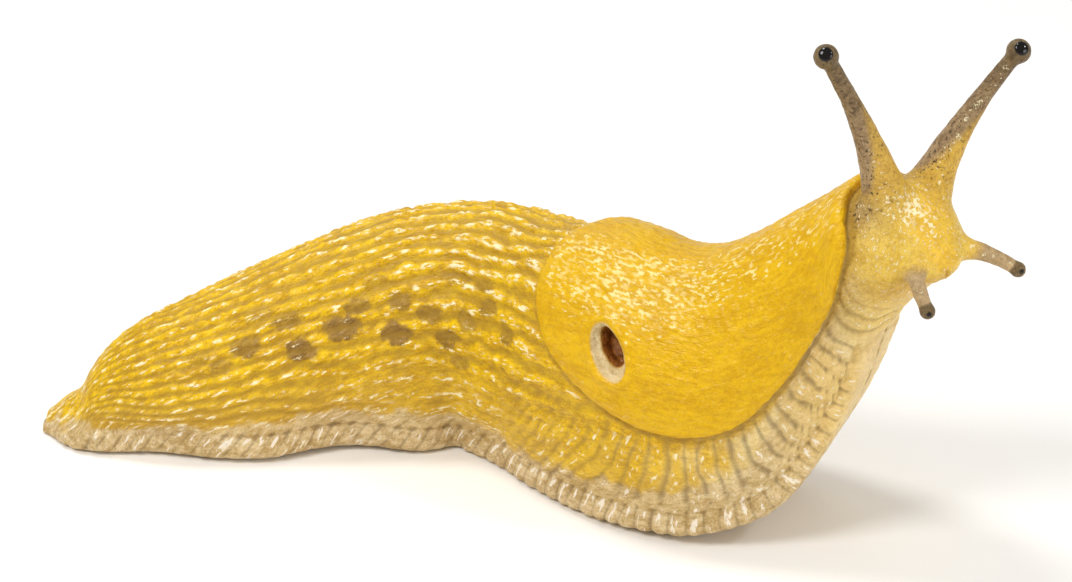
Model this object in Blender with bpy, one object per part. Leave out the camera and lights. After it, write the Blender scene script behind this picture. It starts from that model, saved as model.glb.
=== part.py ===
"""Yellow cellar slug, life size, resting on its sole with the front third raised and the head turned."""
import math

import bmesh
import bpy
import numpy as np
from mathutils import Matrix, Vector

# Sizes are in millimetres and become metres when a mesh is made.
MM = 0.001
GAP = 0.3

# The body from tail to snout: name, middle of the sole, middle of the back,
# half width of the flesh, half width of the foot. Up to the lift the sole lies on the floor, in a flat bend.
STATIONS = [
    ("tail tip", (-51.3, 13.6, 0.0), (-51.4, 13.6, 1.7), 0.9, 1.0),
    ("tail", (-48.6, 13.2, 0.0), (-48.9, 13.2, 3.9), 2.4, 2.7),
    ("tail step", (-46.8, 12.9, 0.0), (-47.2, 13.0, 5.1), 3.3, 3.6),
    ("tail rise", (-45.4, 12.7, 0.0), (-45.8, 12.9, 7.6), 4.0, 4.3),
    ("tail root", (-43.6, 12.6, 0.0), (-44.0, 12.8, 9.9), 4.8, 5.0),
    ("hip", (-40.2, 12.8, 0.0), (-40.6, 13.1, 12.4), 6.1, 6.1),
    ("hind body", (-35.5, 13.4, 0.0), (-35.5, 13.8, 14.5), 7.4, 7.4),
    ("rump", (-25.0, 16.2, 0.0), (-25.0, 17.0, 18.0), 9.4, 9.2),
    ("hump", (-15.0, 18.6, 0.0), (-15.0, 18.9, 21.1), 10.5, 10.1),
    ("bend", (-4.8, 18.8, 0.0), (-6.0, 18.2, 22.5), 10.8, 10.4),
    ("waist", (3.0, 13.0, 0.0), (1.0, 13.2, 23.2), 10.7, 10.4),
    ("mantle rear", (8.0, 6.6, 0.0), (5.6, 7.6, 24.9), 10.6, 10.5),
    ("middle", (13.2, 1.0, 0.0), (10.0, 3.6, 25.5), 10.4, 10.5),
    ("lift", (19.4, -2.4, 0.4), (14.2, 0.8, 25.2), 10.1, 10.0),
    ("chest", (25.8, -4.2, 3.6), (18.2, -1.2, 26.0), 9.3, 8.4),
    ("neck root", (30.0, -5.6, 9.9), (21.8, -2.6, 28.2), 8.2, 6.6),
    ("neck", (32.6, -6.9, 16.6), (25.8, -4.0, 31.4), 7.0, 5.4),
    ("throat", (34.0, -8.0, 22.6), (29.8, -5.8, 35.0), 6.3, 4.6),
    ("nape", (35.0, -9.1, 25.4), (32.6, -7.3, 38.0), 6.3, 4.0),
    ("crown", (36.0, -10.4, 27.1), (35.4, -10.0, 38.6), 5.9, 3.6),
    ("brow", (36.9, -11.7, 28.7), (37.5, -12.4, 36.6), 4.8, 3.0),
    ("snout", (37.8, -12.9, 30.2), (38.5, -13.8, 33.8), 2.9, 2.0),
]

# Where one length of the body gives way to the next, along the middle of the body.
TAIL_START = 1.6
TAIL_END = 14.0
HIND_END = 36.0
MID_END = 63.0
FORE_END = 84.0
HEAD_START = 100.5
FOOT_SPLIT = 68.0

# How finely each length is cut into cross-sections.
ROW_STEP = 2.0
PLAIN_STEP = 1.2
HEAD_STEP = 1.1
PLAIN_PARTS = 32
HEAD_PARTS = 26

# The cross-section above the foot: the level of its greatest width, the share of the girth above that level,
# the groove over the fringe, and how square the back is at distances along the body.
WIDEST = 0.42
ABOVE_FOOT = 0.15
TOP_SHARE = 0.6
GROOVE = 0.35
BELLY_CURVE = 1.8
JAW_CURVE = 0.87
BACK_SQUARE = ((0.0, 12.0, 40.0), (1.75, 1.85, 2.15))

# The foot, the long waves of its margin and the ribs of its fringe. The outline gives a share of the
# thickness and a share of the inset.
FOOT_THICK = 3.4
FOOT_TAPER = ((0.0, 44.0, 60.0, 100.0), (0.78, 0.78, 1.0, 0.62))
THIN_SHARE = 0.42
SOLE_WAVE = 0.9
SOLE_WAVE_LENGTH = 18.2
SOLE_WAVE_CREST = 4.5
SOLE_WAVE_SPAN = (0.0, 3.0, 42.0, 52.0)
SOLE_INSET = 0.9
FRINGE_OUTLINE = ((0.0, 1.0), (0.12, 0.3), (0.35, 0.0), (0.65, 0.0), (0.88, 0.12))
RIB_PITCH = 2.4
RIB_STEP = 0.8
RIB_DEPTH = 0.32
RIB_SLANT = -0.6
RIBS_BEGIN = (2.0, 12.0)

# Rows of long tubercles over the hind body: how high, how they break into beads, and where they fade.
ROW_COUNT = 9
ROW_RISE = 0.5
BEAD_PITCH = 4.0
BEAD_SHARE = 0.35
BEAD_SHIFT = 0.38
ROWS_BEGIN = (1.5, 16.0)
ROWS_END = (64.0, 86.0)
ROWS_LOW = (0.93, 1.0)
UNDER_MANTLE_ALONG = (57.0, 61.5)
UNDER_MANTLE_AROUND = (0.62, 0.72)

# Cross folds on the flank below the mantle and round the neck.
FOLD_RISE = 0.22
FOLDS_BEGIN = (66.0, 80.0)
FOLDS_HIGH = (0.66, 0.8)

# The mantle: a shield over the back, outlined in the body's own coordinates. Its front edge sweeps forward
# at the sides.
MANTLE_MIDDLE = 83.0
MANTLE_REAR = 18.4
MANTLE_FRONT = 21.6
FRONT_SWEEP = 3.4
MANTLE_REACH = 0.585
MANTLE_THICK = 1.35
MANTLE_GAP = 0.35
REAR_ROUND = 2.4
FRONT_ROUND = 8.0
MANTLE_SIDES = 48
MANTLE_INNER = (0.14, 0.3, 0.46, 0.62, 0.76, 0.88, 0.955)
MANTLE_EDGE = ((1.0, 0.3), (0.985, 0.62), (0.95, 0.88))
MANTLE_OUTER = (0.88, 0.76, 0.62, 0.46, 0.3, 0.14)

# The breathing pore low on the right side: its half lengths, its rim and the stages of its flared mouth.
PORE_ALONG = 74.8
PORE_AROUND = -0.40
PORE_LONG = 3.15
PORE_SHORT = 1.7
PORE_TILT = math.radians(25)
PORE_RIM = 0.42
RIM_SUNK = 0.22
PORE_STAGES = ((1.2, 1.25), (0.2, 1.0), (-0.6, 0.8), (-1.2, 0.66), (-2.4, 0.6))

# The front of the head: rings that close the snout, the two lips and the slit of the mouth.
SNOUT_RINGS = ((0.8, 0.84), (1.3, 0.55))
SNOUT_TIP = 1.5
LIP_RADII = (1.15, 1.15, 1.2)
LIP_APART = 1.1
LIP_DROP = 0.7
LIP_AHEAD = 0.0
MOUTH_RADII = (1.3, 0.24, 1.3)
MOUTH_AHEAD = 1.55

# Feelers: name, root inside the head, bend, tip, and the radii at shares of the way.
UPPER_RADII = (
    (0.0, 1.5), (0.08, 2.2), (0.16, 2.5), (0.24, 2.25), (0.34, 1.8), (0.5, 1.34), (0.75, 0.9), (1.0, 0.74),
)
LOWER_RADII = ((0.0, 1.9), (0.2, 1.6), (0.4, 1.15), (0.65, 0.8), (1.0, 0.66))
UPPER_FEELERS = {
    "right": ((33.8, -10.6, 34.9), (32.2, -11.2, 43.6), (26.8, -14.1, 53.6)),
    "left": ((36.7, -8.0, 34.9), (38.9, -6.4, 42.1), (45.7, -5.3, 50.5)),
}
LOWER_FEELERS = {
    "right": ((35.6, -12.6, 33.2), (35.2, -16.2, 32.8), (36.9, -17.6, 29.1)),
    "left": ((38.2, -10.6, 32.5), (42.2, -10.2, 32.7), (46.1, -10.8, 30.2)),
}
UPPER_ROOT_END = 0.42
UPPER_SPLIT = 0.66
UPPER_TIP_START = 0.86
LOWER_ROOT_END = 0.55
UPPER_BULB = 1.3
LOWER_BULB = 0.84
EYE_RADIUS = 0.62
EYE_OUT = 0.82
EYE_LOOK = Vector((0.0, -0.9, 0.44))
EYE_FOLLOW = 0.3
SOCKET_PLAY = 0.26
FEELER_SIDES = 12
BULB_RINGS = 6
BULB_CLOSE = math.radians(18)


def smooth_rows(rows, steps=40):
    """A centripetal Catmull-Rom curve through the rows, paced by the first three numbers of each."""
    rows = np.vstack([2 * rows[0] - rows[1], rows, 2 * rows[-1] - rows[-2]])
    pieces = []
    for first in range(len(rows) - 3):
        quad = rows[first:first + 4]
        chords = np.linalg.norm(np.diff(quad[:, :3], axis=0), axis=1) ** 0.5
        knots = np.concatenate([[0.0], np.cumsum(chords)])
        last = first == len(rows) - 4
        t = np.linspace(knots[1], knots[2], steps + last, endpoint=last)[:, None]

        def mix(a, b, low, high):
            return ((high - t) * a + (t - low) * b) / (high - low)

        edges = [mix(quad[i], quad[i + 1], knots[i], knots[i + 1]) for i in range(3)]
        middles = [mix(edges[i], edges[i + 1], knots[i], knots[i + 2]) for i in range(2)]
        pieces.append(mix(middles[0], middles[1], knots[1], knots[2]))
    return np.vstack(pieces)


def lay_out_body():
    """Distances along the middle of the body and the smoothed stations there."""
    rows = []
    for _, sole, back, half, foot_half in STATIONS:
        middle = 0.5 * (np.array(sole) + np.array(back))
        rows.append([*middle, *sole, *back, half, foot_half])
    rows = smooth_rows(np.array(rows))
    rows[:, 5] = np.maximum(rows[:, 5], 0.0)
    runs = np.linalg.norm(np.diff(rows[:, :3], axis=0), axis=1)
    return np.concatenate([[0.0], np.cumsum(runs)]), rows


ALONG, ROWS = lay_out_body()
LENGTH = ALONG[-1]


def read_rows(s):
    """The smoothed stations at distances s."""
    return np.stack([np.interp(s, ALONG, ROWS[:, k]) for k in range(ROWS.shape[1])], -1)


def frames(s, reach=5.0):
    """The cross-section's plane at distances s: sole point, left, up, height and the two half widths."""
    row = read_rows(s)
    sole, back = row[:, 3:6], row[:, 6:9]
    ahead = read_rows(np.minimum(s + reach, LENGTH))[:, :3] - read_rows(np.maximum(s - reach, 0.0))[:, :3]
    height = np.linalg.norm(back - sole, axis=1)
    up = (back - sole) / height[:, None]
    side = np.cross(up, ahead)
    side /= np.linalg.norm(side, axis=1)[:, None]
    wave = SOLE_WAVE * np.cos(2 * math.pi * (s - SOLE_WAVE_CREST) / SOLE_WAVE_LENGTH)
    wave = wave * np.interp(s, SOLE_WAVE_SPAN, (0.0, 1.0, 1.0, 0.0))
    return sole, side, up, height, row[:, 9], row[:, 10] + wave


def foot_thickness(s, height):
    """The foot thins towards the tail tip and towards the throat."""
    return np.minimum(FOOT_THICK, THIN_SHARE * height) * np.interp(s, *FOOT_TAPER)


def flesh(s, a, grow=0.0, to_sole=False):
    """Points on the flesh; a is 0 on the back, 1 at the left groove over the foot and -1 at the right one."""
    s, a, grow = np.broadcast_arrays(np.asarray(s, float), np.asarray(a, float), np.asarray(grow, float))
    shape = s.shape
    s, a, grow = s.ravel(), a.ravel(), grow.ravel()
    sole, side, up, height, half, foot_half = frames(s)
    low = foot_thickness(s, height) + GAP
    middle = np.maximum(WIDEST * height, low + ABOVE_FOOT * height)
    power = np.interp(s, *BACK_SQUARE)
    turn = np.minimum(np.abs(a) / TOP_SHARE, 1.0) * math.pi / 2
    drop = np.maximum((np.abs(a) - TOP_SHARE) / (1 - TOP_SHARE), 0.0)
    half = half + grow
    out = half * np.sin(turn) ** (2 / power)
    rise = middle + (height + grow - middle) * np.cos(turn) ** (2 / power)
    if to_sole:
        out = np.where(drop > 0, half * np.cos(drop * math.pi / 2) ** JAW_CURVE, out)
        rise = rise - (middle + grow) * np.sin(drop * math.pi / 2) ** JAW_CURVE
    else:
        out = out + (foot_half - GROOVE + grow - half) * drop ** BELLY_CURVE
        rise = rise - (middle - low) * drop
    points = sole + side * (np.sign(a) * out)[:, None] + up * rise[:, None]
    return points.reshape(shape + (3,))


def smooth_step(bounds, x):
    """Rises smoothly from 0 to 1 between the two bounds."""
    t = np.clip((x - bounds[0]) / (bounds[1] - bounds[0]), 0.0, 1.0)
    return t * t * (3 - 2 * t)


def row_rise(s, a):
    """Height of the tubercle rows: ridges along the body, broken into long beads."""
    row = np.round(a * ROW_COUNT)
    crest = 0.5 + 0.5 * np.cos(2 * math.pi * a * ROW_COUNT)
    bead = 1 - BEAD_SHARE * (0.5 - 0.5 * np.cos(2 * math.pi * (s / BEAD_PITCH + row * BEAD_SHIFT)))
    fade = smooth_step(ROWS_BEGIN, s) * (1 - smooth_step(ROWS_LOW, np.abs(a)))
    under_mantle = smooth_step(UNDER_MANTLE_ALONG, s) * (1 - smooth_step(UNDER_MANTLE_AROUND, np.abs(a)))
    ahead = 1 - smooth_step(ROWS_END, s)
    return ROW_RISE * crest * bead * fade * (1 - under_mantle) * ahead


def fold_rise(s, a):
    """Height of the cross folds on the flank below the mantle and round the neck."""
    low_flank = smooth_step(FOLDS_HIGH, np.abs(a))
    return FOLD_RISE * smooth_step(FOLDS_BEGIN, s) * low_flank * np.cos(2 * math.pi * s / RIB_PITCH)


def flesh_ring(s, parts=8 * ROW_COUNT):
    """One closed cross-section of the flesh above the foot, four points to a tubercle row."""
    a = np.linspace(-1.0, 1.0, parts + 1)
    over = flesh(s, a, row_rise(s, a) + fold_rise(s, a))
    ends = np.linspace(over[-1], over[0], 5)[1:-1]
    return np.vstack([over, ends])


def plain_ring(s):
    """A coarser cross-section for where the mantle hides the back."""
    return flesh_ring(s, PLAIN_PARTS)


def foot_ring(s):
    """One closed cross-section of the foot, with the rib of its fringe."""
    sole, side, up, height, _, foot_half = [v[0] for v in frames(np.array([s]))]
    thick = foot_thickness(s, height)
    inset = min(SOLE_INSET, 0.3 * foot_half)
    strength = RIB_DEPTH * float(smooth_step(RIBS_BEGIN, s))
    outline = []
    for share, pull in FRINGE_OUTLINE:
        valley = 0.5 - 0.5 * math.cos(2 * math.pi * (s / RIB_PITCH + RIB_SLANT * share))
        depth = strength * valley if share else 0.0
        outline.append((foot_half - pull * inset - depth, share * thick))
    outline.append((foot_half - GROOVE, thick))
    left = [sole + side * out + up * rise for out, rise in outline]
    right = [sole - side * out + up * rise for out, rise in reversed(outline)]
    ring = np.array(left + right)
    ring[:, 2] = np.maximum(ring[:, 2], 0.0)
    return ring


def head_ring(s):
    """One closed cross-section of the head, round below as well."""
    a = np.linspace(-1.0, 1.0, HEAD_PARTS + 1)[:-1]
    return flesh(s, a, to_sole=True)


def shifted(ring, s, by):
    """The ring at s, moved by a distance along its own plane's normal."""
    _, side, up, *_ = frames(np.array([s]))
    moved = ring + by * np.cross(side[0], up[0])
    moved[:, 2] = np.maximum(moved[:, 2], 0.0)
    return moved


def length_of(ring_at, start, end, step, open_start=False, open_end=False):
    """Rings from start to end, each shared end drawn back by half the gap."""
    count = max(2, round((end - start) / step))
    places = np.linspace(start, end, count + 1)
    rings = [ring_at(s) for s in places]
    if not open_start:
        rings[0] = shifted(rings[0], start, GAP / 2)
    if not open_end:
        rings[-1] = shifted(rings[-1], end, -GAP / 2)
    return rings


def new_object(name, bm, finish):
    """An object from a bmesh in millimetres, with its own material."""
    bmesh.ops.scale(bm, vec=(MM, MM, MM), verts=bm.verts)
    bmesh.ops.recalc_face_normals(bm, faces=bm.faces)
    mesh = bpy.data.meshes.new(name)
    bm.to_mesh(mesh)
    bm.free()
    mesh.shade_smooth()
    mesh.set_sharp_from_angle(angle=math.radians(50))
    mesh.materials.append(material(*finish))
    thing = bpy.data.objects.new(name, mesh)
    bpy.context.collection.objects.link(thing)
    return thing


FINISHES = {
    "mantle": ("mantle_skin", (0.82, 0.46, 0.03), 0.38),
    "back": ("back_skin", (0.74, 0.42, 0.04), 0.42),
    "foot": ("foot_skin", (0.62, 0.44, 0.17), 0.42),
    "head": ("head_skin", (0.84, 0.62, 0.18), 0.38),
    "feeler": ("feeler_skin", (0.30, 0.20, 0.10), 0.4),
    "eye": ("eye_gloss", (0.01, 0.008, 0.006), 0.08),
}


def material(name, colour, roughness):
    found = bpy.data.materials.get(name)
    if found:
        return found
    made = bpy.data.materials.new(name)
    made.use_nodes = True
    shader = made.node_tree.nodes["Principled BSDF"]
    shader.inputs["Base Color"].default_value = (*colour, 1.0)
    shader.inputs["Roughness"].default_value = roughness
    shader.inputs["Metallic"].default_value = 0.0
    return made


def loft(name, rings, finish, start_pole=None, end_pole=None):
    """A closed tube through rings of points, shut by flat faces or by poles."""
    bm = bmesh.new()
    loops = [[bm.verts.new(point) for point in ring] for ring in rings]
    for low, high in zip(loops, loops[1:]):
        for i, vert in enumerate(low):
            j = (i + 1) % len(low)
            bm.faces.new((vert, low[j], high[j], high[i]))
    for loop, pole in ((loops[0], start_pole), (loops[-1], end_pole)):
        if pole is None:
            bm.faces.new(loop)
            continue
        tip = bm.verts.new(pole)
        for i, vert in enumerate(loop):
            bm.faces.new((vert, loop[(i + 1) % len(loop)], tip))
    return new_object(name, bm, FINISHES[finish])


def join_by(target, tool, operation):
    """Fuses or cuts target with tool, applies it and removes the tool."""
    modifier = target.modifiers.new(operation.lower(), "BOOLEAN")
    modifier.operation = operation
    modifier.solver = "EXACT"
    modifier.object = tool
    bpy.context.view_layer.update()
    evaluated = target.evaluated_get(bpy.context.evaluated_depsgraph_get())
    result = bpy.data.meshes.new_from_object(evaluated)
    target.modifiers.clear()
    target.data = result
    bpy.data.objects.remove(tool)
    return target


def curve_point(route, t):
    root, bend, tip = (Vector(p) for p in route)
    return (1 - t) ** 2 * root + 2 * t * (1 - t) * bend + t * t * tip


def curve_direction(route, t):
    root, bend, tip = (Vector(p) for p in route)
    return (2 * (1 - t) * (bend - root) + 2 * t * (tip - bend)).normalized()


def round_ring(centre, direction, radius):
    turn = direction.to_track_quat("Z", "Y").to_matrix()
    ring = []
    for i in range(FEELER_SIDES):
        angle = 2 * math.pi * i / FEELER_SIDES
        ring.append(centre + turn @ Vector((radius * math.cos(angle), radius * math.sin(angle), 0.0)))
    return ring


def feeler_length(name, route, radii, start, end, pieces):
    """A stretch of a feeler between two shares of its route, each end drawn back by half the gap."""
    shares, sizes = zip(*radii)
    rings = []
    for k in range(pieces + 1):
        t = start + (end - start) * k / pieces
        draw_back = {0: GAP / 2, pieces: -GAP / 2}.get(k, 0.0)
        centre = curve_point(route, t) + curve_direction(route, t) * draw_back
        rings.append(round_ring(centre, curve_direction(route, t), float(np.interp(t, shares, sizes))))
    return loft(name, rings, "feeler")


def feeler_tip(name, route, radii, start, pieces, size):
    """The end of a feeler: its last stretch, which runs into a ball round the tip."""
    direction = curve_direction(route, 1.0)
    tip = curve_point(route, 1.0)
    shares, sizes = zip(*radii)
    end = 1.0 - size / (tip - Vector(route[1])).length / 2
    rings = []
    for k in range(pieces):
        t = start + (end - start) * k / pieces
        place = curve_point(route, t) + curve_direction(route, t) * (GAP / 2 if k == 0 else 0.0)
        rings.append(round_ring(place, curve_direction(route, t), float(np.interp(t, shares, sizes))))
    waist = math.pi - math.asin(sizes[-1] / size)
    for k in range(BULB_RINGS + 1):
        angle = waist + (BULB_CLOSE - waist) * k / BULB_RINGS
        rings.append(round_ring(tip + direction * size * math.cos(angle), direction, size * math.sin(angle)))
    return loft(name, rings, "feeler", end_pole=tip + direction * size)


def ball(name, centre, radii, finish, turn=None, segments=12, rings=8):
    """A ball or an egg at a place, with its axes turned by a rotation matrix."""
    bm = bmesh.new()
    bmesh.ops.create_uvsphere(bm, u_segments=segments, v_segments=rings, radius=1.0)
    turn = (turn or Matrix.Identity(3)).to_4x4()
    place = Matrix.Translation(centre) @ turn @ Matrix.Diagonal((*radii, 1.0))
    bmesh.ops.transform(bm, matrix=place, verts=bm.verts)
    return new_object(name, bm, FINISHES[finish])


def make_body():
    """The flesh above the foot, in four lengths behind the head, and a fifth round the neck."""
    spans = [
        ("tail", flesh_ring, TAIL_START, TAIL_END, ROW_STEP),
        ("hind_body", flesh_ring, TAIL_END, HIND_END, ROW_STEP),
        ("mid_body", flesh_ring, HIND_END, MID_END, ROW_STEP),
        ("fore_body", plain_ring, MID_END, FORE_END, PLAIN_STEP),
        ("neck", plain_ring, FORE_END, HEAD_START, PLAIN_STEP),
    ]
    for name, ring_at, start, end, step in spans:
        rings = length_of(ring_at, start, end, step, open_start=name == "tail")
        loft(name, rings, "back")


def make_foot():
    """The foot with its ribbed fringe, in three lengths."""
    spans = [
        ("foot_rear", 0.0, HIND_END),
        ("foot_middle", HIND_END, FOOT_SPLIT),
        ("foot_front", FOOT_SPLIT, HEAD_START),
    ]
    for name, start, end in spans:
        rings = length_of(foot_ring, start, end, RIB_STEP, open_start=name == "foot_rear")
        loft(name, rings, "foot")


def mantle_grid(share, turn):
    """Body coordinates on the mantle: share runs from 0 in the middle to 1 at the edge."""
    along, across = math.cos(turn), math.sin(turn)
    power = FRONT_ROUND if along > 0 else REAR_ROUND
    size = share / (abs(along) ** power + abs(across) ** power) ** (1 / power)
    width = size * across
    half = MANTLE_FRONT + FRONT_SWEEP * width ** 2 if along > 0 else MANTLE_REAR
    return MANTLE_MIDDLE + half * size * along, MANTLE_REACH * width


def make_mantle():
    """A shield with a thick rounded edge that lies just above the back."""
    inner = [(share, 0.0) for share in MANTLE_INNER]
    outer = [(share, 1.0) for share in MANTLE_OUTER]
    rings = []
    for share, lift in [*inner, *MANTLE_EDGE, *outer]:
        places = np.array([mantle_grid(share, 2 * math.pi * k / MANTLE_SIDES) for k in range(MANTLE_SIDES)])
        rings.append(flesh(places[:, 0], places[:, 1], MANTLE_GAP + MANTLE_THICK * lift))
    poles = [flesh(MANTLE_MIDDLE, 0.0, MANTLE_GAP + lift) for lift in (0.0, MANTLE_THICK)]
    mantle = loft("mantle", rings, "mantle", start_pole=poles[0], end_pole=poles[1])
    open_pore(mantle)


def open_pore(mantle):
    """The breathing pore low on the right side, with a raised rim and a flared mouth."""
    step = 0.01
    top = MANTLE_GAP + MANTLE_THICK
    centre = Vector(flesh(PORE_ALONG, PORE_AROUND, top))
    forward = Vector(flesh(PORE_ALONG + step, PORE_AROUND, top)) - centre
    downward = Vector(flesh(PORE_ALONG, PORE_AROUND - step * 0.1, top)) - centre
    outward = forward.cross(downward).normalized()
    if outward.y > 0:
        outward = -outward
    downward = (downward - downward.dot(outward) * outward).normalized()
    downward = Matrix.Rotation(PORE_TILT, 3, outward) @ downward
    across = outward.cross(downward)

    def oval(depth, long_half, short_half, count=24):
        ring = []
        for k in range(count):
            angle = 2 * math.pi * k / count
            flat = downward * long_half * math.cos(angle) + across * short_half * math.sin(angle)
            ring.append(centre + flat + outward * depth)
        return ring

    rim_sides = 6
    bm = bmesh.new()
    loops = []
    for k in range(rim_sides):
        angle = 2 * math.pi * k / rim_sides
        swell = PORE_RIM * (1 + math.cos(angle))
        points = oval(PORE_RIM * math.sin(angle) - RIM_SUNK, PORE_LONG + swell, PORE_SHORT + swell)
        loops.append([bm.verts.new(p) for p in points])
    for k in range(rim_sides):
        low, high = loops[k], loops[(k + 1) % rim_sides]
        for i, vert in enumerate(low):
            j = (i + 1) % len(low)
            bm.faces.new((vert, low[j], high[j], high[i]))
    join_by(mantle, new_object("pore_rim", bm, FINISHES["mantle"]), "UNION")
    rings = [oval(depth, PORE_LONG * size, PORE_SHORT * size) for depth, size in PORE_STAGES]
    join_by(mantle, loft("pore_cutter", rings, "mantle"), "DIFFERENCE")


def make_head():
    """The head with its lips, its mouth line and the wide roots of the four feelers."""
    rings = length_of(head_ring, HEAD_START, LENGTH, HEAD_STEP, open_end=True)
    sole, side, up, height, *_ = [v[0] for v in frames(np.array([LENGTH]))]
    forward = np.cross(side, up)
    heart = sole + 0.5 * height * up
    snout = rings[-1] - heart
    for out, size in SNOUT_RINGS:
        rings.append(heart + snout * size + forward * out)
    head = loft("head", rings, "head", end_pole=heart + forward * SNOUT_TIP)
    for route in UPPER_FEELERS.values():
        join_by(head, feeler_length("root", route, UPPER_RADII, 0.0, UPPER_ROOT_END, 6), "UNION")
    for route in LOWER_FEELERS.values():
        join_by(head, feeler_length("root", route, LOWER_RADII, 0.0, LOWER_ROOT_END, 4), "UNION")
    forward, left, upward = Vector(forward), Vector(side), Vector(up)
    turn = Matrix((forward, left, upward)).transposed()
    mouth = Vector(heart) - upward * LIP_DROP
    for way in (-1, 1):
        lip = ball("lip", mouth + forward * LIP_AHEAD + left * LIP_APART * way, LIP_RADII, "head", turn)
        join_by(head, lip, "UNION")
    slit = ball("mouth_cutter", mouth + forward * MOUTH_AHEAD, MOUTH_RADII, "head", turn)
    join_by(head, slit, "DIFFERENCE")


def make_feelers():
    """Upper feelers in two lengths and a bulb with its eye, lower feelers in one length and a bulb."""
    for name, route in UPPER_FEELERS.items():
        feeler_length(f"upper_tentacle_{name}_low", route, UPPER_RADII, UPPER_ROOT_END, UPPER_SPLIT, 4)
        feeler_length(f"upper_tentacle_{name}_high", route, UPPER_RADII, UPPER_SPLIT, UPPER_TIP_START, 4)
        tip = feeler_tip(f"upper_tentacle_{name}_tip", route, UPPER_RADII, UPPER_TIP_START, 2, UPPER_BULB)
        look = (EYE_LOOK + EYE_FOLLOW * curve_direction(route, 1.0)).normalized()
        place = curve_point(route, 1.0) + look * EYE_OUT
        join_by(tip, ball("socket_cutter", place, (EYE_RADIUS + SOCKET_PLAY,) * 3, "eye"), "DIFFERENCE")
        ball(f"eye_{name}", place, (EYE_RADIUS,) * 3, "eye")
    for name, route in LOWER_FEELERS.items():
        feeler_tip(f"lower_tentacle_{name}", route, LOWER_RADII, LOWER_ROOT_END, 4, LOWER_BULB)


def stand_on_origin():
    """Moves every mesh so that the origin is under the middle of the whole, at the level of the sole."""
    bpy.context.view_layer.update()
    meshes = [thing.data for thing in bpy.data.objects if thing.type == "MESH"]
    corners = np.array([vert.co for mesh in meshes for vert in mesh.vertices])
    low, high = corners.min(axis=0), corners.max(axis=0)
    centre = Vector(((low[0] + high[0]) / 2, (low[1] + high[1]) / 2, low[2]))
    for mesh in meshes:
        mesh.transform(Matrix.Translation(-centre))
    print("moved by", [round(value, 6) for value in -centre])


def main():
    for thing in list(bpy.data.objects):
        bpy.data.objects.remove(thing)
    make_body()
    make_foot()
    make_mantle()
    make_head()
    make_feelers()
    stand_on_origin()


main()
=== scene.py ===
# %% [markdown]
# # A yellow cellar slug, life size and at rest
#
# A slug is one soft, wet bag of muscle. It has no hard edges and no seams, so the looks are built as one closed
# skin over the imported solids, and only the two eyes are pieces of their own. This cell loads those solids. They
# set every size here.

# %% Load the imported solids
import itertools
import math

import bmesh
import bpy
import numpy as np
from mathutils import Matrix, Vector
from mathutils.bvhtree import BVHTree


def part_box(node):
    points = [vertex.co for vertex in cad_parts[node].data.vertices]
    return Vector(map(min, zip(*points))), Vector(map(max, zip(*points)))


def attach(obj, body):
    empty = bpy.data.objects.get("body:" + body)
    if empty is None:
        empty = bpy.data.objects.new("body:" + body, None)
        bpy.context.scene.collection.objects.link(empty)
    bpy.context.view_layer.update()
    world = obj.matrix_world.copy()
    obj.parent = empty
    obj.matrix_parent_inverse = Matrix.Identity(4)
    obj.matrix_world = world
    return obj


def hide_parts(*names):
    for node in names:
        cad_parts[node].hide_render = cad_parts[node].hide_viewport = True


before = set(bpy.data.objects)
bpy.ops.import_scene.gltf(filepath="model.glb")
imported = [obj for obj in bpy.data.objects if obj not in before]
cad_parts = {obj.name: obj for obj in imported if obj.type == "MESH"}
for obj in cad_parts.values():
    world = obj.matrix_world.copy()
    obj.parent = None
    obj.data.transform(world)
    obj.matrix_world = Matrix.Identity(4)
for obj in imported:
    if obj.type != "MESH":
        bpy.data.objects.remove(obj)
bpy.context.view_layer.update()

# %% [markdown]
# ## The body as a curved pipe
#
# The slug bends sideways on the floor and then lifts its front third. A pipe that follows such a path could be a
# curve object with a bevel, but its section has to change from a flat tail to a high back and a round head.
# Sections laid by code between a sole line and a back line give that freedom. They also give each point of the
# skin two plain coordinates: s, the distance from the tail in millimetres, and a, which runs from 0 on the back
# to 1 at the groove above the foot on the left and -1 on the right. All the markings are written in them.

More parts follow.
